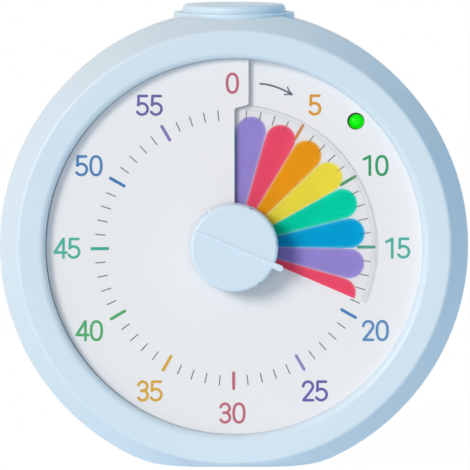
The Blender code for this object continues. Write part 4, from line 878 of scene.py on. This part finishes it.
class InkSheet:
    # Collects pen strokes as thin closed patches that lie on the helical dial.
    def __init__(self):
        self.points, self.faces, self.inks, self.lift, self.ink = [], [], [], 0.0, 0

    def spot(self, x, up, lift, onTab):
        angle = math.degrees(math.atan2(x, up)) % 360
        if onTab and angle < 180:
            angle += 360
        return dialPoint(x, up, helixDepth(angle) - lift)

    def stroke(self, path, width, shift=(0.0, 0.0), onTab=False, closed=False):
        # Strokes that cross get a hair's difference in height.
        self.lift = (self.lift + 0.004) % 0.012
        pairs = ribs(path, width / 2, closed)
        start = len(self.points)
        for left, right in pairs:
            for point, lift in ((left, marks["ink"] + self.lift), (right, marks["ink"] + self.lift),
                                (right, -marks["sunk"]), (left, -marks["sunk"])):
                self.points.append(self.spot(point.x + shift[0], point.y + shift[1], lift, onTab))
        count = len(pairs)
        for i in range(count if closed else count - 1):
            a, b = start + 4 * i, start + 4 * ((i + 1) % count)
            self.faces += [(a + k, a + (k + 1) % 4, b + (k + 1) % 4, b + k) for k in range(4)]
        if not closed:
            last = start + 4 * (count - 1)
            self.faces += [tuple(range(start, start + 4)), tuple(range(last + 3, last - 1, -1))]
        self.inks += [self.ink] * (len(self.faces) - len(self.inks))

    def make(self, name, *materials):
        piece = newPiece(name, self.points, self.faces, materials[0])
        for material in materials[1:]:
            piece.data.materials.append(material)
        piece.data.polygons.foreach_set("material_index", self.inks)
        meshFix(piece, 0)
        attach(piece, "case")
        return piece


def makeNumerals():
    for i, ink in enumerate(dialInks):
        words, turn = str(i * 5), math.radians(30.0 * i)
        total = sum(digits[c][0] + marks["stroke"] for c in words) + sum(digits[c][1] for c in words[:-1])
        x = marks["numeralRadius"] * math.sin(turn) + marks["numeralX"] - total / 2 + marks["stroke"] / 2
        up = marks["numeralRadius"] * math.cos(turn) + marks["numeralUp"] - top / 2
        sheet = InkSheet()
        for c in words:
            width, gap, strokes = digits[c]
            for path in strokes:
                sheet.stroke(path, marks["stroke"], (x, up), i == 0, c == "0")
            x += width + marks["stroke"] + gap
        if i > 0:
            turn += math.radians(marks["ticksTurn"])
            radii = marks["majorInner"], marks["majorOuter"]
            ends = [(r * math.sin(turn), r * math.cos(turn)) for r in radii]
            sheet.ink = 1
            sheet.stroke(ends, marks["majorWidth"], (marks["ticksX"], marks["ticksUp"]))
        sheet.make(f"numeral_{i * 5}", *((ink, majorInks[i]) if i > 0 else (ink,)))


def makeMinorTicks():
    half = marks["minorWidth"] / 2
    bar = slab("tick", boxOutline(-half, marks["minorInner"], half, marks["minorOuter"]), -marks["ink"],
               marks["sunk"], tickInk, atOrigin)
    minutes = [i for i in range(60) if i % 5]
    spots = [dialPoint(marks["ticksX"], marks["ticksUp"], helixDepth(6.0 * i)) for i in minutes]
    turns = [(0.0, math.radians(6.0 * i + marks["ticksTurn"]), 0.0) for i in minutes]
    ticks = copiesPiece("minor_ticks", bar, spots, turns, tickInk)
    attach(ticks, "case")


def makeArrow():
    # A gently curved shaft towards the five with a two-stroke head.
    sheet, wide = InkSheet(), marks["arrowStroke"]
    for share, line in (
            (1.0, [(8.32, 52.06), (9.9, 51.95), (11.5, 51.62), (13.0, 51.20), (14.6, 50.60), (16.2, 49.9),
                   (18.1, 48.85)]),
            (0.75, [(17.05, 50.95), (17.55, 49.85), (18.55, 48.72)]),
            (0.75, [(16.1, 48.62), (17.3, 48.68), (18.55, 48.55)])):
        sheet.stroke(line, wide * share)
    sheet.make("direction_arrow", arrowInk)


makeNumerals()
makeMinorTicks()
makeArrow()
print("dial printed")


# knob, pointer and button

knob = {
    "radius": 14.15, "face": -4.8, "dish": 0.06, "flat": 2.6, "rear": 3.0, "round": 1.0, "foot": 0.25,
    "wall": 2.0, "faceThickness": 3.0, "sleeve": 5.5, "sleeveFoot": 1.8, "angle": 113.4, "notchWidth": 1.3,
    "notchDeep": 0.7, "notchFoot": 1.0, "notches": 6, "reach": 17.1, "headWidth": 2.0, "tailWidth": 1.35,
    "barTop": -5.2, "barThickness": 1.6, "barGap": -0.05, "tail": 0.5, "past": 3.0,
}


def barOutline(gap):
    # The pointer seen from the front, along its own direction: x is its side, y its reach.
    head, tail = knob["headWidth"] / 2 + gap, knob["tailWidth"] / 2 + gap
    rear, tip = -(knob["radius"] - knob["round"]) - knob["tail"] - gap, knob["reach"] + gap
    return [(tail, rear)] + arcPath(0.0, tip - head, head, 0, 180, 12) + [(-tail, rear)]


def alongPointer(side, reach, depth):
    turn = math.radians(knob["angle"])
    return dialPoint(reach * math.sin(turn) + side * math.cos(turn),
                     reach * math.cos(turn) - side * math.sin(turn), depth)


def makeKnob():
    face, rear, radius, dish = knob["face"], knob["rear"], knob["radius"], knob["dish"]
    ceiling, inner, foot = face + knob["faceThickness"], radius - knob["wall"], knob["foot"]
    sleeve, low, deep = knob["sleeve"], knob["sleeveFoot"], knob["barThickness"]
    grip = turnedPiece("timer_knob", roundedPath([
        (0.0, face + dish), (radius - knob["flat"], face + dish / 2), (radius - 0.2, face, knob["round"]),
        (radius, rear, foot), (inner, rear, foot), (inner, ceiling), (sleeve, ceiling), (sleeve, low),
        (0.0, low)], 8), knobPlastic, 192)
    front = face - knob["past"]
    carve(grip, slab("rib slot", barOutline(knob["barGap"]), front, face + deep, knobPlastic, alongPointer))
    half = knob["notchWidth"] / 2
    middle = Vector((0.0, 0.0, (radius - knob["notchDeep"] + half) * mm))
    tooth = rod("notch", half, front, rear - knob["notchFoot"], 24,
                lambda r, a, d: aroundOrigin(r, a, d) + middle)
    turns = [(0.0, math.radians(knob["angle"] + 30 + 60 * i), 0.0) for i in range(knob["notches"])]
    carveAt(grip, tooth, [dialPoint(0, 0, 0)] * knob["notches"], turns=turns)
    softEdges(grip, 0.12, 2, 40)
    smoothShade(grip, 35)
    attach(grip, "knob")
    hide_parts("knob")
    top = knob["barTop"]
    bar = slab("pointer_rib", barOutline(0.0), top, top + deep, pointerPlastic, alongPointer)
    softEdges(bar, 0.35, 4, 40)
    smoothShade(bar, 50)
    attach(bar, "knob")
    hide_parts("pointer_bar")


def makeButton():
    radius, wall, lip, high = button["capRadius"], button["capWall"], button["lip"], button["capTop"]
    lipTop = button["lipTop"]
    cap = turnedPiece("push_cap", roundedPath([
        (0.0, high - wall), (radius - wall, high - wall), (radius - wall, lipTop - lip),
        (radius + lip, lipTop - lip), (radius + lip, lipTop), (radius, lipTop),
        (radius, high - button["capDrop"], button["capRound"]),
        (radius * button["crownShare"], high, button["crownRound"]), (0.0, high)], 10),
        buttonPlastic, button["steps"], roundButton)
    smoothShade(cap)
    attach(cap, "button")
    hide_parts("button_cap")
    bore, outer = radius + button["gap"], button["collarRadius"]
    seat, high = button["collarSeat"], button["collarTop"]
    collar = turnedPiece("button_ring", roundedPath([
        (bore, seat + 1), (bore, high, button["collarInnerRound"]), (outer, high, button["collarRound"]),
        (outer, seat), (bore, seat)]),
        buttonPlastic, button["steps"], roundButton)
    smoothShade(collar)
    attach(collar, "case")
    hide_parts("button_collar")


def makeSpring():
    # The coil under the cap.
    solid = nodes["return_spring"]
    mesh = solid.data.copy()
    mesh.transform(solid.matrix_world)
    mesh.materials.clear()
    mesh.materials.append(platedSteel)
    coil = addObject("button_spring", mesh)
    smoothShade(coil, 50)
    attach(coil, "case")
    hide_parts("return_spring")
    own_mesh(coil)


makeKnob()
makeButton()
makeSpring()
print("knob and button made")


# the back

door = {
    "half": 30.2, "high": 45.8, "pivotHeight": 13.8, "pivotDepth": 47.0, "thickness": 2.0, "ribWidth": 2.0,
    "ribHeight": 7.1, "ribDeep": 1.2, "ribX": 12.3, "ribHeights": (21.9, 36.7), "ribSunk": 0.5, "grooves": 5,
    "grooveHalf": 8.0, "grooveShorter": 0.9, "grooveStep": 1.9, "grooveTop": 43.2, "grooveRadius": 0.45,
    "grooveOff": 0.1,
}


def crossways(depth, height, x):
    # A side profile drawn in depth and height above the table, swept along x.
    return Vector((x * mm, frontY + depth * mm, height * mm))


def makeDoor():
    radius, middle, high = door["thickness"] / 2, door["pivotDepth"], door["high"]
    inner, outer = middle - radius, middle + radius
    profile = roundedPath(arcPath(middle, door["pivotHeight"], radius, 180, 360, 12) + [
        (outer, high, 0.3), (inner, high, 0.3), (inner, high - 1)], 3)
    panel = slab("battery_cover", profile, -door["half"], door["half"], shellPlastic, crossways)
    wide, tall = door["ribWidth"] / 2, door["ribHeight"] / 2
    for height in door["ribHeights"]:
        for x in (-door["ribX"], door["ribX"]):
            low, high = (inner - door["ribDeep"], height - tall), (inner + door["ribSunk"], height + tall)
            outline = boxOutline(*low, *high)
            carve(panel, slab("rib", outline, x - wide, x + wide, shellPlastic, crossways), "UNION")
    for i in range(door["grooves"]):
        height = door["grooveTop"] - i * door["grooveStep"]
        long = door["grooveHalf"] - i * door["grooveShorter"]
        ring = arcPath(outer + door["grooveOff"], height, door["grooveRadius"], 0, 330, 11)
        carve(panel, slab("groove", ring, -long, long, shellPlastic, crossways))
    smoothShade(panel, 35)
    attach(panel, "door")
    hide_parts("battery_door")


screwSizes = {
    "headRadius": 2.6, "headHigh": 1.8, "shank": 1.4, "length": 33.0, "seat": 40.0, "slotWidth": 0.62,
    "slotReach": 1.45, "slotDeep": 1.1, "turns": (12, 71, 38, 55),
}


def makeScrews():
    seat, head, wide = screwSizes["seat"], screwSizes["headHigh"], screwSizes["headRadius"]
    top, shank, tip = seat + head, screwSizes["shank"], seat - screwSizes["length"]
    screw = turnedPiece("screw", roundedPath([
        (0.0, top), (wide * 0.75, top, 1.2), (wide, seat + head * 0.45, 0.6), (wide, seat), (shank, seat),
        (shank, tip + 1), (0.0, tip)]), platedSteel, 36, aroundOrigin)
    half, reach = screwSizes["slotWidth"] / 2, screwSizes["slotReach"]
    for a, b in ((half, reach), (reach, half)):
        outline = boxOutline(-a, -b, a, b)
        carve(screw, slab("cross", outline, top - screwSizes["slotDeep"], top + 1, platedSteel, atOrigin))
    turns = [(0.0, math.radians(a), 0.0) for a in screwSizes["turns"]]
    screws = copiesPiece("back_screws", screw, screwSpots(), turns, platedSteel)
    smoothShade(screws, 35)
    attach(screws, "case")
    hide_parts(*[f"housing_screw_{i}" for i in range(1, 5)])


makeDoor()
makeScrews()
print("back made")


# finishes of the solids that stay as they are

keptFinishes = {
    naturalPlastic: ("chassis_plate", "disc_hub"),
    blackPlastic: ("tact_switch", "buzzer", "switch_body", "switch_slider", "movement_housing",
                   "movement_cover"),
    gearPlastic: ("output_wheel", "intermediate_wheel", "rotor"),
    boardMask: ("main_board", "button_board"),
    copperWire: ("coil",),
    cellJacket: ("battery_1", "battery_2"),
}
finished = {name: material for material, names in keptFinishes.items() for name in names}
for name, node in nodes.items():
    for slot in node.material_slots:
        slot.material = finished.get(name, platedSteel)


# floor, light and camera

studio = {
    "suns": (("window", 1.92, "#fff9f2", (-0.58, -0.76, 0.32)),
             ("fill behind", 1.0, "#f4f8ff", (0.0, 1.0, 0.0)),
             ("fill at the right", 0.55, "#00c4ff", (0.95, 0.05, 0.3))),
    "sunSoftness": 22.0, "windowSide": "#b5a398", "farSide": "#7b929e", "farTowards": (0.8, 0.0, 0.6),
    "farFrom": 0.35, "farFull": 0.8, "elevation": 3.7, "distance": 4.0, "pixel": 0.3195, "centreX": 234.1,
    "centreY": 247.5, "size": 470, "floorWhite": 0.88, "floorTint": "#d8f0ff", "floorStrength": 1.03,
    "floorGlow": 0.40, "floorGlowSeen": 0.94,
}


def seesBackground(tree):
    # 1 for rays from the camera and from metal or glass, 0 for rays that only light the object.
    path = addNode(tree, "ShaderNodeLightPath").outputs
    either = calc(tree, "MAXIMUM", path["Is Camera Ray"], path["Is Glossy Ray"])
    return calc(tree, "MAXIMUM", either, path["Is Transmission Ray"])


def makeWorld():
    # A room that is warmer on the window's side; white where it is seen.
    world = bpy.data.worlds.new("studio")
    world.use_nodes = True
    bpy.context.scene.world = world
    tree = world.node_tree
    way = addNode(tree, "ShaderNodeTexCoord").outputs["Generated"]
    across = addNode(tree, "ShaderNodeVectorMath", {0: way, 1: studio["farTowards"]}, operation="DOT_PRODUCT")
    share = remap(tree, across.outputs["Value"], 0.0, 1.0, studio["farFrom"], studio["farFull"])
    room = blend(tree, share, linearColour(studio["windowSide"]), linearColour(studio["farSide"]))
    seen = blend(tree, seesBackground(tree), room, linearColour("#ffffff"))
    feed(tree, tree.nodes["Background"], {"Color": seen})


def makeFloor():
    # White paper that glows evenly where it is seen, and casts back a little blue.
    paper, tree, shader, _ = newFinish("white paper sweep")
    feed(tree, shader, {
        "Base Color": (studio["floorWhite"],) * 3 + (1.0,), "Roughness": 0.9, "Specular IOR Level": 0.1})
    seen = seesBackground(tree)
    tint = blend(tree, seen, linearColour(studio["floorTint"]), linearColour("#ffffff"))
    glow = addNode(tree, "ShaderNodeEmission", {"Strength": studio["floorStrength"], "Color": tint})
    share = remap(tree, seen, studio["floorGlow"], studio["floorGlowSeen"])
    mix = addNode(tree, "ShaderNodeMixShader", {
        0: share, 1: shader.outputs["BSDF"], 2: glow.outputs["Emission"]})
    feed(tree, tree.nodes["Material Output"], {"Surface": mix.outputs["Shader"]})
    floor = newPiece("floor", [(-4, -4, 0), (4, -4, 0), (4, 4, 0), (-4, 4, 0)], [(0, 1, 2, 3)], paper)


def makeSuns():
    for name, strength, colour, origin in studio["suns"]:
        lamp = bpy.data.lights.new(name, "SUN")
        lamp.energy, lamp.color = strength, linearColour(colour)[:3]
        lamp.angle = math.radians(studio["sunSoftness"])
        light = addObject(name, lamp)
        light.rotation_euler = Vector(origin).to_track_quat("Z", "Y").to_euler()
        light.visible_glossy = name == "window"  # the fills leave no glare on the plastic


def makeCamera():
    # Framed so that the dial's axis falls on its pixel of the 470 x 470 photograph.
    lens, distance, pixel = bpy.data.cameras.new("camera"), studio["distance"], studio["pixel"] * mm
    lens.sensor_width, lens.clip_end = 36.0, 30.0
    lens.lens = lens.sensor_width * distance / (pixel * studio["size"])
    tilt, middle = math.radians(studio["elevation"]), studio["size"] / 2
    aim = Vector(((middle - studio["centreX"]) * pixel, frontY,
                  axisHeight + (studio["centreY"] - middle) * pixel / math.cos(tilt)))
    camera = addObject("camera", lens)
    camera.location = aim + Vector((0.0, -math.cos(tilt), math.sin(tilt))) * distance
    camera.rotation_euler = (math.pi / 2 - tilt, 0.0, 0.0)
    bpy.context.scene.camera = camera


makeWorld()
makeFloor()
makeSuns()
makeCamera()
bpy.context.scene.view_settings.view_transform = "Standard"
print("studio made")
